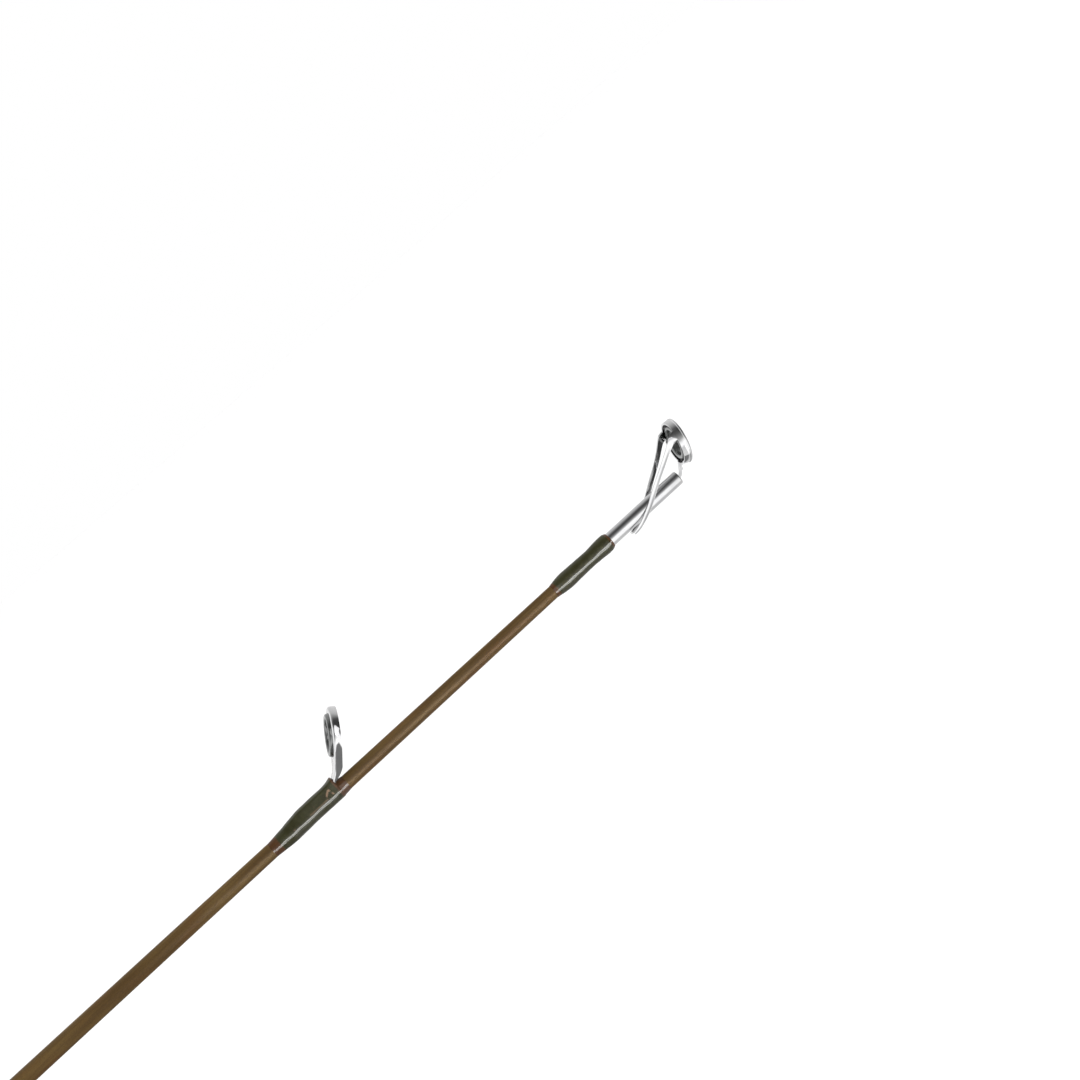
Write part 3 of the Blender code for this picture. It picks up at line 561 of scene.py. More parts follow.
blankPaint = {
    "low": fromScreen(87, 65, 33),
    "high": fromScreen(107, 84, 46),
    "red": fromScreen(101, 69, 35),
    "speck": (0.03, 0.02, 0.012),
    "grain": ((0.05, 1, 1), 900.0, 4.0),  # stretch, scale, detail
    "drift": ((0.25, 1, 1), 260.0, 2.0),
    "dust": ((1, 1, 1), 5200.0, 2.0),
    "mostRed": 0.55,
    "mostSpeck": 0.22,
}


def blankFinish():
    s = blankPaint
    paint = Paint("blankBrown", Specular_IOR_Level=0.12)
    patterns = [s["grain"], s["drift"], s["dust"]]
    grain, drift, dust = [paint.noise(paint.stretched(stretch), *rest) for stretch, *rest in patterns]
    tone = paint.mixColour(paint.between(grain, 0.35, 0.68), s["low"], s["high"])
    tone = paint.mixColour(paint.between(drift, 0.48, 0.70, 0.0, s["mostRed"]), tone, s["red"])
    tone = paint.mixColour(paint.between(dust, 0.40, 0.64, 0.0, s["mostSpeck"]), tone, s["speck"])
    paint.drive("Base Color", tone)
    return paint.surface(0.40 + grain * 0.14, dust * 0.6 + grain * 0.4, 0.25, 0.02)


wrapPaint = {
    "thread": fromScreen(56, 55, 22),
    # painted shade: the darker colour in the grooves between thread turns
    "shade": fromScreen(37, 36, 10),
    "worn": fromScreen(66, 66, 40),
    "bare": fromScreen(76, 47, 18),
    "pitch": 0.20,  # mm from thread to thread
    "blotches": (700.0, 3.0),  # scale, detail
    "mostWorn": 0.35,
}


def wrapFinish():
    s = wrapPaint
    coat = {"Coat_Weight": 0.5, "Coat_Roughness": 0.015, "Coat_IOR": 1.56}
    paint = Paint("threadUnderEpoxy", Specular_IOR_Level=0.1, **coat)
    along = paint.outputs(paint.node("ShaderNodeSeparateXYZ", {}, {0: paint.place()}), 0)[0]
    turns = along * (2 * math.pi / (s["pitch"] * mm))
    ridge = paint.node("ShaderNodeMath", {"operation": "SINE"}, {0: turns}) * 0.5 + 0.5
    bare = paint.node("ShaderNodeAttribute", {"attribute_name": "overBlank"}, output="Fac")
    blotch = paint.noise(paint.place(), *s["blotches"])
    # the thread turns, with painted shade in the grooves between them
    thread = paint.mixColour(ridge * 0.8, s["shade"], s["thread"])
    thread = paint.mixColour(paint.between(blotch, 0.35, 0.7, 0.0, s["mostWorn"]), thread, s["worn"])
    paint.drive("Base Color", paint.mixColour(bare, thread, s["bare"]))
    return paint.surface(0.55 + bare * 0.1, ridge * (1 - bare), 0.7, 0.05)


tones = {  # the deep and the pale colour of each plain finish, as light
    "steel": ((0.57, 0.57, 0.58), (0.64, 0.64, 0.64)),
    "ceramic": ((0.028, 0.031, 0.030), (0.060, 0.064, 0.060)),
    "rubber": ((0.017, 0.017, 0.016), (0.030, 0.029, 0.028)),
    "seat": ((0.020, 0.017, 0.014), (0.034, 0.029, 0.024)),
    "cushion": ((0.020, 0.020, 0.020), (0.040, 0.039, 0.038)),
    "bronze": ((0.26, 0.19, 0.11), (0.36, 0.27, 0.17)),
    "arbor": ((0.30, 0.28, 0.22), (0.44, 0.42, 0.34)),
}


def metalFinish(name, tone, cloud, smears, roughness, strength):
    paint = Paint(name, Metallic=1.0)
    stretch, *grain = smears
    smear = paint.noise(paint.stretched(stretch), *grain)
    paint.mottle(paint.noise(paint.place(), cloud), 0.3, 0.7, tones[tone])
    return paint.surface(roughness[0] + smear * roughness[1], smear, strength, 0.02)


def cellFinish(name, tone, size, roughness, depth):
    paint = Paint(name, Specular_IOR_Level=0.2)
    cell = paint.cells(paint.place(), size)
    paint.mottle(cell, 0.1, 0.8, tones[tone])
    return paint.surface(roughness[0] + cell * roughness[1], cell, 0.4, depth)


def ceramicFinish():
    paint = Paint("polishedCeramic", IOR=2.4)
    cloud = paint.noise(paint.place(), 900.0)
    paint.mottle(cloud, 0.35, 0.7, tones["ceramic"])
    return paint.surface(0.08 + cloud * 0.12, cloud, 0.10, 0.02)


corkPaint = {
    "pale": fromScreen(214, 176, 130),
    "deep": fromScreen(176, 132, 88),
    "pit": fromScreen(92, 60, 36),
    "burlDark": fromScreen(58, 38, 26),
    "burlMid": fromScreen(128, 88, 56),
    "burlPale": fromScreen(178, 132, 88),
    "cloud": (160.0, 4.0),  # scale, detail
    "grain": 900.0,
    "pits": ((1.0, 0.45, 0.45), 520.0, 5.0, 0.7),  # stretch, scale, detail, roughness
    "mostPit": 0.85,
    "crumb": 520.0,
    "mostGap": 0.8,
}


def corkFinish():
    s = corkPaint
    paint = Paint("naturalCork", Specular_IOR_Level=0.25)
    cloud = paint.noise(paint.place(), *s["cloud"])
    grain = paint.cells(paint.place(), s["grain"])
    pits = paint.noise(paint.stretched(s["pits"][0]), *s["pits"][1:])
    pit = paint.between(pits, 0.60, 0.67)
    tone = paint.mixColour(cloud, s["deep"], s["pale"])
    tone = paint.mixColour(paint.between(grain, 0.2, 0.9, 0.0, 0.35), tone, s["deep"])
    paint.drive("Base Color", paint.mixColour(pit * s["mostPit"], tone, s["pit"]))
    return paint.surface(0.78 + pit * 0.15, grain * 0.25 - pit, 0.55, 0.35)


def burlFinish():
    s = corkPaint
    paint = Paint("burlCork", Specular_IOR_Level=0.3)
    crumb = paint.cells(paint.place(), s["crumb"])
    colour = paint.outputs(crumb, "Color")[0]
    share = paint.outputs(paint.node("ShaderNodeSeparateColor", {}, {0: colour}), 0)[0]
    stops = [(0.0, s["burlDark"]), (0.4, s["burlMid"]), (0.8, s["burlPale"])]
    tone = paint.node("ShaderNodeValToRGB", {"stops": stops}, {0: share})
    gap = paint.between(crumb, 0.55, 0.85)
    paint.drive("Base Color", paint.mixColour(gap * s["mostGap"], tone, s["burlDark"]))
    return paint.surface(0.62 + gap * 0.25, 1 - gap, 0.35, 0.2)


def rubberFinish():
    paint = Paint("mouldedRubber", Specular_IOR_Level=0.35)
    cloud = paint.noise(paint.place(), 240.0)
    grain = paint.noise(paint.place(), 4200.0, 2.0)
    paint.mottle(cloud, 0.3, 0.7, tones["rubber"])
    return paint.surface(0.62 + cloud * 0.2, grain, 0.3, 0.05)


def seatFinish():
    paint = Paint("mouldedGraphite", Coat_Weight=0.25, Coat_Roughness=0.18)
    grain = paint.noise(paint.place(), 3600.0)
    paint.mottle(paint.noise(paint.place(), 180.0, 4.0), 0.3, 0.7, tones["seat"])
    return paint.surface(0.30 + grain * 0.16, grain, 0.22, 0.04)


finishes = {
    "blank": blankFinish(),
    "wrap": wrapFinish(),
    "steel": metalFinish("polishedSteel", "steel", 420.0, ((0.3, 1, 1), 1800.0, 4.0), (0.05, 0.12), 0.12),
    "ceramic": ceramicFinish(),
    "cork": corkFinish(),
    "burl": burlFinish(),
    "rubber": rubberFinish(),
    "seat": seatFinish(),
    "cushion": cellFinish("softCushion", "cushion", 2600.0, (0.75, 0.2), 0.08),
    "bronze": metalFinish("bronzeAlloy", "bronze", 300.0, ((6, 0.2, 0.2), 900.0), (0.20, 0.18), 0.2),
    "arbor": cellFinish("arborFoam", "arbor", 1500.0, (0.85, 0.1), 0.15),
}
print("finishes are mixed")


blankShape = {
    "tipRadius": 1.18,
    "taper": 0.00265,
    "tipX": 1674.8,
    "buttX": -289.0,
    "wall": (1.0, 0.55),
    "stations": 60,
}


def blankRadius(x):
    return blankShape["tipRadius"] + blankShape["taper"] * (blankShape["tipX"] - x)


def makeBlank():
    s = blankShape
    outside = []
    inside = []
    for index in range(s["stations"] + 1):
        share = index / s["stations"]
        x = s["buttX"] + (s["tipX"] - s["buttX"]) * share
        wall = s["wall"][0] + (s["wall"][1] - s["wall"][0]) * share
        outside.append((x, blankRadius(x)))
        inside.append((x, blankRadius(x) - wall))
    piece = turnOnRod("blankTube", outside + inside[::-1], 64)
    dress(piece, "blank", "rod", "blank")


makeBlank()
print("blank is made")


wrapShape = {
    "overFoot": 28.0,  # half the angle that the flat foot takes under the thread
    "steps": 4,
    "glue": 0.015,  # between the bore and the blank
    "slack": 0.01,  # how far off a point may be from where it was drawn
    "edge": 0.16,  # over which the thread's colour ends
    "rippleLength": 2.4,
    "rippleHeight": 0.13,
}


def rippleEpoxy(piece):  # brushed epoxy never sets quite even
    ripple = bpy.data.textures.get("ripple") or bpy.data.textures.new("ripple", "CLOUDS")
    ripple.noise_scale = wrapShape["rippleLength"] * mm
    ripple.noise_depth = 1
    uneven = piece.modifiers.new("uneven", "DISPLACE")
    uneven.texture = ripple
    uneven.texture_coords = "LOCAL"
    uneven.strength = wrapShape["rippleHeight"] * mm
    uneven.mid_level = 0.5
    applyModifier(piece, uneven)


def pulledTight(base, top, angle, half):  # over the foot, straight down its sides, round below
    if top <= base:
        return base
    reach = half + math.acos(base / top)
    if angle >= reach:
        return base
    return min(top, base / math.cos(reach - angle))


def makeWrap(name, node, centreX, stations, thread, half=wrapShape["overFoot"], upright=1):
    # stations: x from the centre, radius below, radius over the foot; thread: where it starts and ends
    rows = flowing(stations, wrapShape["steps"])
    rear = centreX + rows[0][0]
    front = centreX + rows[-1][0]
    outline = [(centreX + x, base) for x, base, top in rows]
    glue = wrapShape["glue"]
    slack = wrapShape["slack"]
    outline += [(front, blankRadius(front) + glue), (rear, blankRadius(rear) + glue)]
    piece = turnOnRod(name, outline)
    for vertex in piece.data.vertices:
        x = vertex.co.x / mm - centreX
        height = (vertex.co.z - axisHeight) / mm
        side = vertex.co.y / mm
        radius = math.hypot(height, side)
        for near, far in zip(rows, rows[1:]):
            if near[0] - slack <= x <= far[0] + slack:
                share = (x - near[0]) / (far[0] - near[0])
                base = near[1] + (far[1] - near[1]) * share
                top = near[2] + (far[2] - near[2]) * share
                if abs(radius - base) < slack:
                    angle = math.atan2(abs(side), height * upright)
                    grown = pulledTight(base, top, angle, math.radians(half)) / radius
                    vertex.co.y *= grown
                    vertex.co.z = axisHeight + (vertex.co.z - axisHeight) * grown
                break
    rippleEpoxy(piece)
    markBare(piece, centreX + thread[0], centreX + thread[1])
    dress(piece, "wrap", "rod", node)


def markBare(piece, rear, front):  # 1 where the epoxy lies on the bare blank, past the thread's ends
    layer = piece.data.attributes.new("overBlank", "FLOAT", "POINT")
    for vertex, item in zip(piece.data.vertices, layer.data):
        x = vertex.co.x / mm
        past = max(rear - x, x - front)
        item.value = min(1.0, max(0.0, past / wrapShape["edge"] + 0.5))


tipShape = {
    "endX": 1677.8,
    "tubeRadius": 1.375,
    "tubeLength": 20.0,
    "tubeBore": 1.26,
    "tubeMouth": ((-0.20, 0.0), (-0.10, 0.015), (-0.03, 0.05), (0.0, 0.10)),  # from the end, off the radius
    "ring": (4.1, 5.15),  # ahead of the tube's end, above the axis
    "lean": 14.5,
    "sheet": 0.40,
    "band": (  # from the front's inner edge round a rolled rim to the rear edge
        (3.45, 0.85), (4.10, 0.85), (4.32, 0.80), (4.46, 0.68), (4.50, 0.54), (4.49, 0.40), (4.40, 0.32),
        (4.40, 0.22), (4.39, -0.10), (4.24, -0.85),
    ),
    "legBase": (8, 38),  # degrees up the ring's side
    "neckBase": 22,  # degrees either side of the ring's foot
    "leg": (  # x, y, height, half width of the outer face
        (3.20, 3.78, 6.86, 0.94), (2.72, 3.62, 6.66, 0.76), (2.10, 3.38, 6.34, 0.60),
        (0.96, 2.97, 5.57, 0.48), (-1.25, 2.46, 4.14, 0.44), (-3.85, 2.16, 2.60, 0.44),
        (-5.80, 1.93, 1.36, 0.45), (-7.40, 1.82, 0.34, 0.45), (-9.10, 1.76, -0.58, 0.43),
        (-10.8, 1.68, -1.34, 0.38), (-12.1, 1.50, -1.80, 0.32), (-13.4, 1.26, -2.06, 0.22),
    ),
    "legThinning": (14, 0.84),  # how many rows draw the curved base of the leg flat, and how fast
    "crease": (5, 12, 0.08),  # after which row, before which row, how far
    "neck": (  # x, height, half width
        (1.92, 1.05, 1.32), (1.55, 0.50, 1.12), (1.10, -0.02, 1.02),
        (0.55, -0.38, 0.98), (-0.2, -0.56, 0.94), (-1.0, -0.58, 0.90),
    ),
    "neckThinning": (6, 0.6),
    "edge": 0.16,
    "lining": (3.40, 2.45, -0.70, 1.10),  # outer radius, bore, rear, front
    "wrap": (  # behind the tube's end, radius
        (-31.6, 1.315), (-31.0, 1.41), (-30.4, 1.52), (-29.4, 1.65), (-28.2, 1.70), (-26.2, 1.65),
        (-23.8, 1.57), (-21.6, 1.61), (-19.8, 1.72), (-18.8, 1.76), (-18.1, 1.70), (-17.8, 1.58),
        (-17.5, 1.45),
    ),
    "wrapBore": (1.40, 0.1, 0.02),  # its radius, how far behind the tube it narrows, glue on the blank
    "thread": (-30.87, -17.95),
}


def makeTipTube():
    s = tipShape
    end = s["endX"]
    outline = [
        (end - s["tubeLength"], s["tubeBore"]),
        (end - s["tubeLength"], s["tubeRadius"]),
        *((end + x, s["tubeRadius"] - drop) for x, drop in s["tubeMouth"]),
        (end, s["tubeBore"] + 0.03),
        (end - 0.05, s["tubeBore"]),
    ]
    dress(turnOnRod("tipTube", outline), "steel", "rod", "tip_tube")


def makeTipWrap():
    s = tipShape
    end = s["endX"]
    bore, step, glue = s["wrapBore"]
    rows = flowing([(end + x, radius) for x, radius in s["wrap"]], 5)
    rear = rows[0][0]
    inside = [(rows[-1][0], bore), (end - s["tubeLength"] - step, bore), (rear, blankRadius(rear) + glue)]
    piece = turnOnRod("tipWrap", rows + inside)
    rippleEpoxy(piece)
    markBare(piece, end + s["thread"][0], end + s["thread"][1])
    dress(piece, "wrap", "rod", "tip_wrap")


liningShape = {
    "points": 24,
    "boxiness": 0.62,  # of the section: 1 is an ellipse
}


def liningOutline(outer, bore, rear, front):
    power = liningShape["boxiness"]
    points = []
    for index in range(liningShape["points"]):
        turn = 2 * math.pi * index / liningShape["points"]
        rise = math.copysign(abs(math.cos(turn)) ** power, math.cos(turn))
        run = math.copysign(abs(math.sin(turn)) ** power, math.sin(turn))
        radius = (outer + bore) / 2 + rise * (outer - bore) / 2
        depth = (front + rear) / 2 + run * (front - rear) / 2
        points.append(Vector((0, radius * mm, depth * mm)))
    return points


def spinLining(name, section):
    return spinLine(name, liningOutline(*section), roundSides, (0, 0, 0), (0, 0, 1))


def makeTipFrame():
    s = tipShape
    centre = onRod(s["endX"] + s["ring"][0], 0, s["ring"][1])
    axes = leaningAxes(s["lean"])
    # half of the pressed band, from its foot round the far side to its top
    piece = drawLine("tipFrame", [Vector((0, -radius * mm, depth * mm)) for radius, depth in s["band"]])
    selectAll()
    bpy.ops.mesh.spin(steps=48, angle=-math.pi, center=(0, 0, 0), axis=(0, 0, 1))
    closeMesh()
    leaveEditing()
    standPiece(piece, centre, axes)
    startEditing()
    bpy.ops.mesh.select_mode(type="EDGE")

    rearRim = s["band"][-1][1] * mm

    def onRim(point, low, high):
        off = point - centre
        angle = math.degrees(math.atan2(off.dot(axes[1]), off.dot(axes[0])))
        return abs(off.dot(axes[2]) - rearRim) < 0.05 * mm and low < angle < high

    pick(lambda point: onRim(point, *s["legBase"]), rimOnly=True)
    growLeg(s["leg"])
    pick(lambda point: onRim(point, -90, s["neckBase"] - 90), rimOnly=True)
    growNeck(s["neck"])
    closeMesh()
    leaveEditing()
    faceOutwards(piece, lambda point: (point - centre).dot(axes[0]) > 4.2 * mm, axes[0])
    mirrorAcross(piece)
    giveWall(piece, s["sheet"])
    softenEdges(piece, s["edge"], segments=4, angle=50)
    dress(piece, "steel", "rod", "tip_frame")
    lining = spinLining("tipLining", s["lining"])
    standPiece(lining, centre, axes)
    dress(lining, "ceramic", "rod", "tip_insert")


def pickedBox():
    mesh = editedMesh()
    picked = [vertex.co.copy() for vertex in mesh.verts if vertex.select]
    low = Vector([min(point[axis] for point in picked) for axis in range(3)])
    high = Vector([max(point[axis] for point in picked) for axis in range(3)])
    return (low + high) / 2, high - low


def growLeg(leg):
    base, size = pickedBox()
    thinRows, thinning = tipShape["legThinning"]
    path = flowing(leg, 3)
    rows = []
    for index, (x, y, height, half) in enumerate(path):
        ahead = path[min(index + 1, len(path) - 1)]
        behind = path[max(index - 1, 0)]
        slope = math.degrees(math.atan2(behind[2] - ahead[2], behind[0] - ahead[0]))
        rows.append((onRod(tipShape["endX"] + x, y, height), half * mm, slope))

    def squeezed(index, share):
        return share, share * thinning if index < thinRows else share, share

    growAlong(rows, base, size.length / 2, squeezed, -tipShape["lean"], creaseRow)


def creaseRow(index, centre, slope):  # leans the leg's lower half out, so that light falls on it in two bands
    first, last, amount = tipShape["crease"]
    if not first < index < last:
        return
    mesh = editedMesh()
    lean = math.radians(slope)
    down = Vector((math.sin(lean), 0, -math.cos(lean)))
    for vertex in mesh.verts:
        if vertex.select:
            vertex.co.y += amount * max(0.0, (vertex.co - centre).dot(down))
    showEdits()


def growNeck(neck):
    base, size = pickedBox()
    base.y = 0
    thinRows, thinning = tipShape["neckThinning"]
    rows = [(onRod(tipShape["endX"] + x, 0, height), half * mm, 0) for x, height, half in flowing(neck, 3)]

    def narrowed(index, share):
        flat = thinning if index < thinRows else 1.0
        return flat, share, flat

    growAlong(rows, base, size.y, narrowed)


makeTipTube()
makeTipWrap()
makeTipFrame()
print("tip-top is made")


guideShape = {
    "lean": 35.8,
    "rise": 7.0,
    "hole": 3.95,
    "outer": 5.08,
    "outline": 4.4,  # what lies farther out is on the outer edge
    "sides": 72,
    "flange": 1.45,
    "sheet": 0.40,
    "fold": 0.46,
    "foldSegments": 4,
    "edge": 0.09,
    "legBase": 58,  # degrees either side of the ring's foot
    "neckHalf": 2.50,
    "footHalf": 0.80,
    "bendRadius": 4.5,
    "bendRows": 9,
    "foot": ((-9.8, 0.65, 0.80), (-12.7, 0.65, 0.80), (-15.6, 0.40, 0.66)),  # x, rise, half width
    "footFold": 0.52,
    "lining": (3.90, 2.90, -0.62, 1.20),
    "sizes": (8, 8, 8, 8, 8, 10, 10, 12),  # from the tip towards the reel: the sizes here are an 8's
    "firstGap": 83.0,
    "gapGrowth": 1.157,
    "wrapGrowth": 0.6,  # of the thread over the foot, for a frame of twice the size
    "climb": 0.2,  # from this on the thread counts as over the foot
    "stations": (  # x from the ring, rise below, rise over the foot
        (-20.9, 0.04, 0.04), (-20.3, 0.12, 0.12), (-19.2, 0.21, 0.22), (-18.2, 0.30, 0.34),
        (-17.0, 0.37, 0.47), (-15.9, 0.39, 0.64), (-14.5, 0.33, 0.84), (-13.0, 0.28, 0.99),
        (-10.5, 0.26, 1.02), (-7.9, 0.27, 1.03), (-6.5, 0.28, 1.13), (-5.7, 0.28, 1.32),
        (-5.25, 0.27, 1.42), (-5.08, 0.24, 1.30), (-4.95, 0.20, 0.55), (-4.8, 0.16, 0.17),
        (-4.2, 0.13, 0.13), (-3.4, 0.04, 0.04),
    ),
    "thread": (-19.1, -5.4),
}


def pressGuide():  # a size 8 frame about its ring's centre: across, up the lean, forward
    s = guideShape
    lean = math.radians(s["lean"])
    clearSelection()
    bpy.ops.mesh.primitive_circle_add(vertices=s["sides"], radius=s["hole"] * mm, location=(0, 0, 0))
    piece = called(bpy.context.active_object, "guideFrame")
    startEditing()
    bpy.ops.mesh.select_mode(type="EDGE")
    selectAll()
    wider = s["outer"] / s["hole"]
    growRow((0, 0, 0), (0, 0, 0), across=(wider, wider, 1))

    def atFoot(point):
        aside = math.degrees(math.atan2(abs(point.x), -point.y))
        return point.length > s["outline"] * mm and aside < s["legBase"]

    pick(atFoot, rimOnly=True)
    rows = bendRows(lean)
    neck = Vector((0, rows[0][0] * mm, 0))
    baseHalf = s["outer"] * math.sin(math.radians(s["legBase"] + 2))  # the rim's next point lies 2 degrees on
    growRow((0, 0, 0), neck, across=(s["neckHalf"] / baseHalf, 0.0, 1))
    path = [(Vector((0, v * mm, w * mm)), half, 0) for v, w, half, height, normal in rows[1:]]
    growAlong(path, neck, s["neckHalf"], lambda index, share: (share, 1, 1))
    clearColumns()
    # the outline is folded forward, and its fold is brought down along the foot
    pick(lambda point: point.xy.length > s["outline"] * mm or point.z < -0.01 * mm, rimOnly=True)
    extrudeBy((0, 0, s["flange"] * mm))
    bpy.ops.mesh.select_mode(type="VERT")
    touch = 0.02 * mm
    for v, w, half, height, normal in rows[1:]:
        fold = Vector((0, v, w + s["flange"])) * mm
        pick(lambda point: abs(point.y - fold.y) < touch and abs(point.z - fold.z) < touch)
        lower = Vector((0, normal[0] * height, normal[1] * height - s["flange"])) * mm
        bpy.ops.transform.translate(value=lower)
    closeMesh()
    bpy.ops.mesh.select_mode(type="EDGE")
    deselectAll()
    bpy.ops.mesh.edges_select_sharp(sharpness=math.radians(60))
    bpy.ops.mesh.bevel(offset=s["fold"] * mm, segments=s["foldSegments"], affect="EDGES")
    leaveEditing()
    faceOutwards(piece, lambda point: point.y > 0 and point.length < 4.8 * mm, Vector((0, 0, -1)))
    giveWall(piece, s["sheet"])
    softenEdges(piece, s["edge"], angle=55)
    return piece


def clearColumns():  # leaves the leg one wide face in every row, so that its fold has room
    mesh = editedMesh()
    deselectAll()
    outer = guideShape["outer"] * mm
    crossing = 0.88  # an edge crosses the leg when this share of its length is along x
    for edge in mesh.edges:
        near, far = edge.verts[0].co, edge.verts[1].co
        aside = math.degrees(math.atan2(abs(near.x + far.x), -near.y - far.y))
        onArc = max(abs(near.length - outer), abs(far.length - outer)) < 0.01 * mm
        alongLeg = abs(far.x - near.x) < crossing * (far - near).length
        if aside < guideShape["legBase"] - 1 and not edge.is_boundary and (onArc or alongLeg):
            edge.select_set(True)
    showEdits()
    bpy.ops.mesh.dissolve_edges(use_verts=False)
    bpy.ops.mesh.select_mode(type="VERT")
    mesh = editedMesh()
    deselectAll()
    for vertex in mesh.verts:
        ends = [edge.other_vert(vertex).co - vertex.co for edge in vertex.link_edges]
        between = len(ends) == 2 and all(abs(end.x) > crossing * end.length for end in ends)
        if vertex.co.y < -outer and between:
            vertex.select_set(True)
    showEdits()
    bpy.ops.mesh.dissolve_verts()
    bpy.ops.mesh.select_mode(type="EDGE")


def bendRows(lean):  # rows down the leg: place, half width, fold height, the way the fold stands
    s = guideShape
    footTop = s["foot"][0][1] - s["rise"]
    bendStart = footTop + s["bendRadius"] * (1 - math.sin(lean))
    v = bendStart / math.cos(lean)
    rows = [(v, 0.0, s["neckHalf"], s["flange"], (0.0, 1.0))]
    for index in range(1, s["bendRows"] + 1):
        share = index / s["bendRows"]
        turn = (math.pi / 2 - lean) * share
        drop = v - s["bendRadius"] * math.sin(turn)
        back = -s["bendRadius"] * (1 - math.cos(turn))
        half = s["footHalf"] + (s["neckHalf"] - s["footHalf"]) * (1 - share) ** 2
        height = s["flange"] + (s["footFold"] - s["flange"]) * min(1.0, share * 1.2)
        rows.append((drop, back, half, height, (-math.sin(turn), math.cos(turn))))
    for x, rise, half in s["foot"]:
        height = rise - s["rise"]
        drop = x * math.sin(lean) + height * math.cos(lean)
        back = x * math.cos(lean) - height * math.sin(lean)
        rows.append((drop, back, half, s["footFold"], (-math.cos(lean), math.sin(lean))))
    return rows


def guidePlaces():  # ring centres from the tip-top towards the reel, with their sizes
    places = []
    x = tipShape["endX"] + tipShape["ring"][0]
    gap = guideShape["firstGap"]
    for size in guideShape["sizes"]:
        x -= gap
        places.append((x, size))
        gap *= guideShape["gapGrowth"]
    return places


def setGuide(prefix, x, size, framePattern, liningPattern):
    s = guideShape
    scale = size / s["sizes"][0]
    blank = blankRadius(x)
    centre = onRod(x, 0, blank + s["rise"] * scale)
    axes = leaningAxes(s["lean"])
    node = "butt_guide" if prefix == "buttGuide" else "runner_" + prefix[-1]
    parts = (("Frame", "_frame", "steel", framePattern), ("Lining", "_insert", "ceramic", liningPattern))
    for name, ending, finish, pattern in parts:
        piece = copyPiece(pattern, prefix + name)
        standPiece(piece, centre, axes, scale)
        dress(piece, finish, "rod", node + ending)
    extra = s["wrapGrowth"] * (scale - 1)
    stations = []
    for along, base, top in s["stations"]:
        raised = extra if top > base + s["climb"] else 0.0
        stations.append((along * scale, blank + base, blank + top + raised))
    thread = [end * scale for end in s["thread"]]
    wrapNode = node + ("_rear_wrap" if prefix == "buttGuide" else "_wrap")
    makeWrap(prefix + "Wrap", wrapNode, x, stations, thread)


frontFootShape = {
    "scale": 1.5,
    "footSheet": 0.8,
    "strutSheet": 0.75,
    "edge": 0.12,
    "foot": ((11.5, 0.95, 1.0), (14.5, 0.95, 1.0), (17.0, 0.95, 1.0), (19.6, 0.50, 0.85)),
    "strut": (
        (0.75, 4.96, 6.50, 0.62), (4.4, 3.42, 4.30, 0.60), (8.0, 2.0, 2.2, 0.58), (11.2, 0.86, 1.05, 0.50),
        (12.8, 0.62, 0.78, 0.36), (15.0, 0.55, 0.72, 0.28),
    ),
    "wrap": (
        (13.2, 0.04, 0.04), (13.6, 0.13, 0.13), (13.9, 0.22, 0.60), (14.1, 0.27, 1.36), (17.0, 0.27, 1.32),
        (19.6, 0.36, 1.12), (22.1, 0.38, 0.64), (23.6, 0.25, 0.25), (24.6, 0.13, 0.13), (25.2, 0.04, 0.04),
    ),
    "thread": (13.75, 24.3),
}


def makeFrontFoot(x):  # the butt guide's second foot and the two struts that stand on it
    s = frontFootShape
    scale = s["scale"]
    blank = blankRadius(x)
    rows = []
    for along, rise, half in s["foot"]:
        rows.append((onRod(x + along * scale, 0, blank + rise), half * scale * mm, 0))
    start, half, slope = rows[0]
    aside = Vector((0, half, 0))
    foot = drawLine("buttGuideFoot", [start - aside, start + aside])
    selectAll()
    growAlong(rows[1:], start, half, lambda index, share: (1, share, 1))
    leaveEditing()
    faceOutwards(foot, lambda point: True, Vector((0, 0, 1)))
    giveWall(foot, s["footSheet"])
    softenEdges(foot, 1.25 * s["edge"])
    dress(foot, "steel", "rod", "butt_guide_frame")
    path = flowing(s["strut"], 5)
    rows = []
    for before, (along, side, rise, half) in zip([path[0]] + path, path):
        slope = -math.degrees(math.atan2(before[2] - rise, along - before[0]))
        place = onRod(x + along * scale, side * scale, blank + rise * scale)
        rows.append((place, half * scale * mm, slope))
    start, half, slope = rows[0]
    upwards = Vector((0, 0, half))
    strut = drawLine("buttGuideStruts", [start - upwards, start + upwards])
    selectAll()
    growAlong(rows[1:], start, half, lambda index, share: (share,) * 3)
    leaveEditing()
    faceOutwards(strut, lambda point: True, Vector((0, 1, 0)))
    mirrorAcross(strut)
    giveWall(strut, s["strutSheet"])
    softenEdges(strut, s["edge"], angle=50)
    dress(strut, "steel", "rod", "butt_guide_frame")
    stations = [(along * scale, blank + base, blank + top) for along, base, top in s["wrap"]]
    thread = [end * scale for end in s["thread"]]
    makeWrap("buttGuideFrontWrap", "butt_guide_front_wrap", x, stations, thread)


def makeGuides():
    framePattern = pressGuide()
    liningPattern = spinLining("guideLining", guideShape["lining"])
    *runners, (buttX, buttSize) = guidePlaces()
    for index, (x, size) in enumerate(runners):
        setGuide("runner" + str(index + 1), x, size, framePattern, liningPattern)
        print("runner", index + 1, "is set")
    setGuide("buttGuide", buttX, buttSize, framePattern, liningPattern)
    makeFrontFoot(buttX)
    bpy.data.objects.remove(framePattern)
    bpy.data.objects.remove(liningPattern)


makeGuides()
print("guides are set")


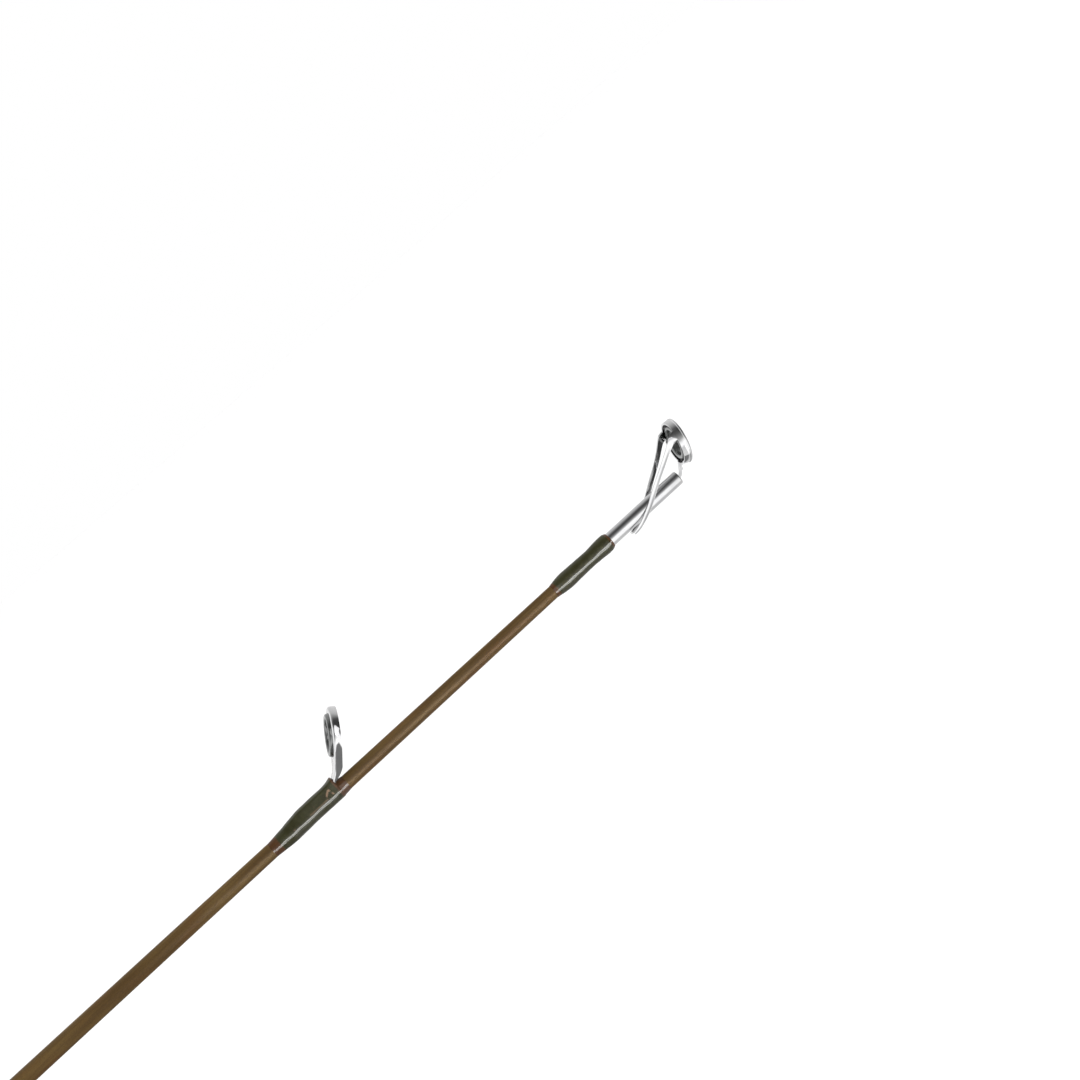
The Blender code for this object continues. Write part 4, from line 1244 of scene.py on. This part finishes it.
keeperShape = {
    "x": 141.0,
    "wire": 0.55,
    "gap": 0.05,
    "overFoot": 7.0,
    "path": (
        (14.5, 0.0), (10.5, 0.0), (7.4, 0.0), (6.4, 0.25), (5.75, 1.3), (5.0, 3.9), (4.3, 5.15), (3.2, 5.6),
        (0.0, 5.6),
    ),
    "wrap": (
        (8.0, 0.04, 0.04), (8.3, 0.14, 0.14), (8.5, 0.22, 0.70), (8.7, 0.26, 1.38), (14.0, 0.26, 1.38),
        (15.0, 0.30, 0.95), (16.2, 0.36, 0.44), (18.2, 0.24, 0.24), (19.0, 0.13, 0.13), (19.4, 0.04, 0.04),
    ),
    "thread": (8.4, 18.7),
}


def makeKeeper():
    s = keeperShape
    blank = blankRadius(s["x"])
    half = flowing(s["path"], 4)
    path = [(-x, rise) for x, rise in half] + [(x, rise) for x, rise in half[::-1]][1:]
    seat = blank + s["gap"] + s["wire"]
    points = [onRod(s["x"] + x, 0, -(seat + rise)) for x, rise in path]
    piece = drawLine("hookKeeper", points)
    leaveEditing()
    makeActive(piece)
    bpy.ops.object.convert(target="CURVE")
    wire = bpy.context.active_object.data
    wire.bevel_depth = s["wire"] * mm
    wire.bevel_resolution = 5
    wire.use_fill_caps = True
    bpy.ops.object.convert(target="MESH")
    dress(bpy.context.active_object, "steel", "rod", "hook_keeper")
    for side, name, node in ((-1, "Rear", "rear"), (1, "Front", "front")):
        stations = sorted((side * x, blank + base, blank + top) for x, base, top in s["wrap"])
        thread = sorted(side * end for end in s["thread"])
        nodeName = "hook_keeper_" + node + "_wrap"
        makeWrap("keeper" + name + "Wrap", nodeName, s["x"], stations, thread, s["overFoot"], upright=-1)


makeKeeper()
print("hook keeper is made")


gripShapes = {  # x and radius
    "glue": 0.1,  # between a piece's bore and the blank
    "rearCork": (
        (-263.9, 12.75), (-263.4, 13.0), (-262.0, 13.12), (-248.7, 13.3), (-225.9, 12.9), (-195.6, 12.0),
        (-165.2, 11.3), (-134.8, 11.1), (-108.3, 11.35), (-87.4, 11.55), (-76.0, 11.42), (-74.6, 11.32),
        (-74.1, 11.1),
    ),
    "foreCork": (
        (64.2, 11.2), (64.6, 11.5), (66.9, 12.15), (75.6, 12.5), (87.1, 11.9), (98.5, 10.9), (109.0, 10.28),
        (109.7, 10.15), (110.0, 10.0),
    ),
    "endRing": ((-289.7, 11.5), (-289.2, 11.9), (-276.7, 11.9), (-276.7, 13.0), (-264.0, 13.1)),
    "frontRing": ((-74.0, 11.38), (-66.1, 11.15)),
    "foreRing": ((110.1, 10.2), (114.8, 9.7), (116.0, 9.2)),
    "trim": (
        (-66.0, 11.2), (-65.5, 11.6), (-64.6, 11.6), (-64.4, 11.35), (-63.8, 11.35), (-63.6, 11.6),
        (-62.6, 11.6), (-62.1, 11.3),
    ),
    "check": (
        (116.1, 9.0), (117.0, 9.0), (117.7, 8.1), (118.9, 7.3), (119.1, 7.05), (119.4, 7.05), (119.6, 6.95),
        (120.2, 6.7), (121.0, 6.5),
    ),
    "rearArbor": ((-49.0, 7.9), (-35.0, 7.9)),
    "frontArbor": ((39.0, 7.9), (53.0, 7.9)),
    "capEnd": (
        (-297.0, 0.0), (-297.0, 6.2), (-296.5, 6.5), (-296.5, 7.4), (-297.0, 7.7), (-297.0, 9.6),
        (-296.9, 10.2),
    ),
    "capSide": ((-296.4, 11.0), (-294.6, 13.4), (-290.5, 14.25), (-283.0, 13.9), (-277.8, 13.45)),
    "capMouth": ((-277.2, 13.3), (-277.0, 13.05), (-277.0, 12.0), (-290.0, 12.0), (-290.0, 0.0)),
}


def boredPiece(name, node, finish, outline, soft=0.0, sides=roundSides):
    start = outline[0][0]
    end = outline[-1][0]
    glue = gripShapes["glue"]
    closed = list(outline) + [(end, blankRadius(end) + glue), (start, blankRadius(start) + glue)]
    piece = turnOnRod(name, closed, sides)
    if soft:
        softenEdges(piece, soft, segments=3)
    dress(piece, finish, "rod", node)


def makeGrips():
    s = gripShapes
    boredPiece("rearGrip", "rear_grip", "cork", flowing(s["rearCork"], 4))
    boredPiece("foregrip", "foregrip", "cork", flowing(s["foreCork"], 4))
    boredPiece("frontBurlRing", "rear_grip_front_ring", "burl", s["frontRing"], 0.25)
    boredPiece("foreBurlRing", "foregrip_front_ring", "burl", s["foreRing"], 0.25)
    boredPiece("endBurlRing", "rear_grip_end_ring", "burl", s["endRing"], 0.2)
    boredPiece("seatTrim", "seat_rear_trim", "bronze", s["trim"], 0.08)
    boredPiece("windingCheck", "winding_check", "bronze", s["check"], 0.1)
    boredPiece("rearArbor", "seat_arbor_rear", "arbor", s["rearArbor"], 0.3, 64)
    boredPiece("frontArbor", "seat_arbor_front", "arbor", s["frontArbor"], 0.3, 64)
    outline = list(s["capEnd"]) + flowing(s["capSide"], 5) + list(s["capMouth"])
    points = [onRod(x, 0, radius) for x, radius in outline]
    piece = spinLine("buttCap", points, roundSides, (0, 0, axisHeight), (1, 0, 0), closed=False)
    dress(piece, "rubber", "rod", "butt_cap")


makeGrips()
print("grips and rings are made")


def moulded(node, name, body, voxel, smoothing):  # the node's skin remeshed and eased
    piece = copyNode(node, name)
    remesh = piece.modifiers.new("skin", "REMESH")
    remesh.mode = "VOXEL"
    remesh.voxel_size = voxel * mm
    applyModifier(piece, remesh)
    ease = piece.modifiers.new("ease", "SMOOTH")
    ease.factor = 0.5
    ease.iterations = smoothing
    applyModifier(piece, ease)
    dress(piece, "seat", body, node)


threadShape = {
    "start": 29.0,
    "pitch": 2.0,
    "turns": 17,
    "section": ((-0.62, 9.65), (-0.62, 9.95), (-0.22, 10.5), (0.22, 10.5), (0.62, 9.95), (0.62, 9.65)),
    "flat": 9.38,
}


def makeBarrelThread():
    s = threadShape
    points = [Vector(((s["start"] + x) * mm, 0, radius * mm)) for x, radius in s["section"]]
    piece = drawLine("barrelThread", points + [points[0]])
    closeMesh()
    leaveEditing()
    piece.location.z = axisHeight
    screw = piece.modifiers.new("thread", "SCREW")
    screw.axis = "X"
    screw.screw_offset = s["pitch"] * mm
    screw.iterations = s["turns"]
    screw.steps = 64
    screw.render_steps = 64
    applyModifier(piece, screw)
    bpy.ops.object.transform_apply(location=True, rotation=True, scale=True)
    startEditing()
    selectAll()
    flat = (0, 0, axisHeight + s["flat"] * mm)
    bpy.ops.mesh.bisect(plane_co=flat, plane_no=(0, 0, 1), use_fill=True, clear_outer=True)
    selectAll()
    bpy.ops.mesh.normals_make_consistent(inside=False)
    leaveEditing()
    dress(piece, "seat", "rod", "reel_seat")


nutShape = {
    "rear": 48.3,
    "radius": 13.6,
    "sides": 144,
    "lip": (
        (0.0, 12.35), (0.0, 12.9), (0.15, 13.3), (0.55, 13.6), (1.4, 13.6), (1.6, 13.42), (1.9, 13.42),
        (2.1, 13.6), (3.2, 13.6),
    ),
    "sideRows": (19, 0.45),  # how many, how far apart
    "front": ((12.5, 13.05), (13.2, 12.75), (13.7, 12.3), (13.7, 10.8)),
    "inside": ((3.7, 10.8), (3.7, 12.8), (2.0, 12.8), (2.0, 12.2), (0.15, 12.2)),
    "flutes": 9,
    "fluteDepth": 1.2,
    "fluteEase": 0.8,  # the power of the cosine: below 1 the flutes are wider than the ridges
    "fluted": (51.9, 60.4),
    "endEase": 0.9,
    "skin": 13.2,  # only what lies farther out is fluted
}


def makeLockNut():
    s = nutShape
    count, step = s["sideRows"]
    side = [(s["lip"][-1][0] + step * row, s["radius"]) for row in range(1, count + 1)]
    skin = list(s["lip"]) + side + list(s["front"]) + list(s["inside"])
    piece = turnOnRod("lockNut", [(s["rear"] + x, radius) for x, radius in skin], s["sides"])
    low, high = s["fluted"]
    for vertex in piece.data.vertices:
        x = vertex.co.x / mm
        across = vertex.co.y
        height = vertex.co.z - axisHeight
        if math.hypot(across, height) > s["skin"] * mm and low < x < high:
            inside = min(1.0, min(x - low, high - x) / s["endEase"])
            share = inside * inside * (3 - 2 * inside)
            wave = (0.5 + 0.5 * math.cos(s["flutes"] * math.atan2(across, height))) ** s["fluteEase"]
            grown = 1 - s["fluteDepth"] * wave * share / s["radius"]
            vertex.co.y *= grown
            vertex.co.z = axisHeight + height * grown
    softenEdges(piece, 0.12, angle=40)
    dress(piece, "seat", "lock_nut", "lock_nut")


def makeCushions():
    for side, body in (("fixed", "rod"), ("sliding", "sliding_hood")):
        node = side + "_hood_cushion"
        piece = copyNode(node, side + "Cushion")
        softenEdges(piece, 0.22, segments=3, angle=25)
        dress(piece, "cushion", body, node)


moulded("reel_seat", "reelSeat", "rod", voxel=0.5, smoothing=6)
moulded("sliding_hood", "slidingHood", "sliding_hood", voxel=0.34, smoothing=18)
makeBarrelThread()
makeLockNut()
makeCushions()
print("reel seat, hood and nut are made")


def shineOnly(pieces, *names):  # these lamps reach the given pieces and nothing else
    reached = bpy.data.collections.new(names[0] + "Reach")
    for piece in pieces:
        reached.objects.link(piece)
    for name in names:
        bpy.data.objects[name].light_linking.receiver_collection = reached


streaked = [piece for piece in bpy.data.objects if piece.name.endswith("Wrap") or piece.name == "blankTube"]
shineOnly(streaked, "glintStrip", "lowGlintStrip", "warmGlint")
shineOnly([bpy.data.objects["tipFrame"]], "tipCard")
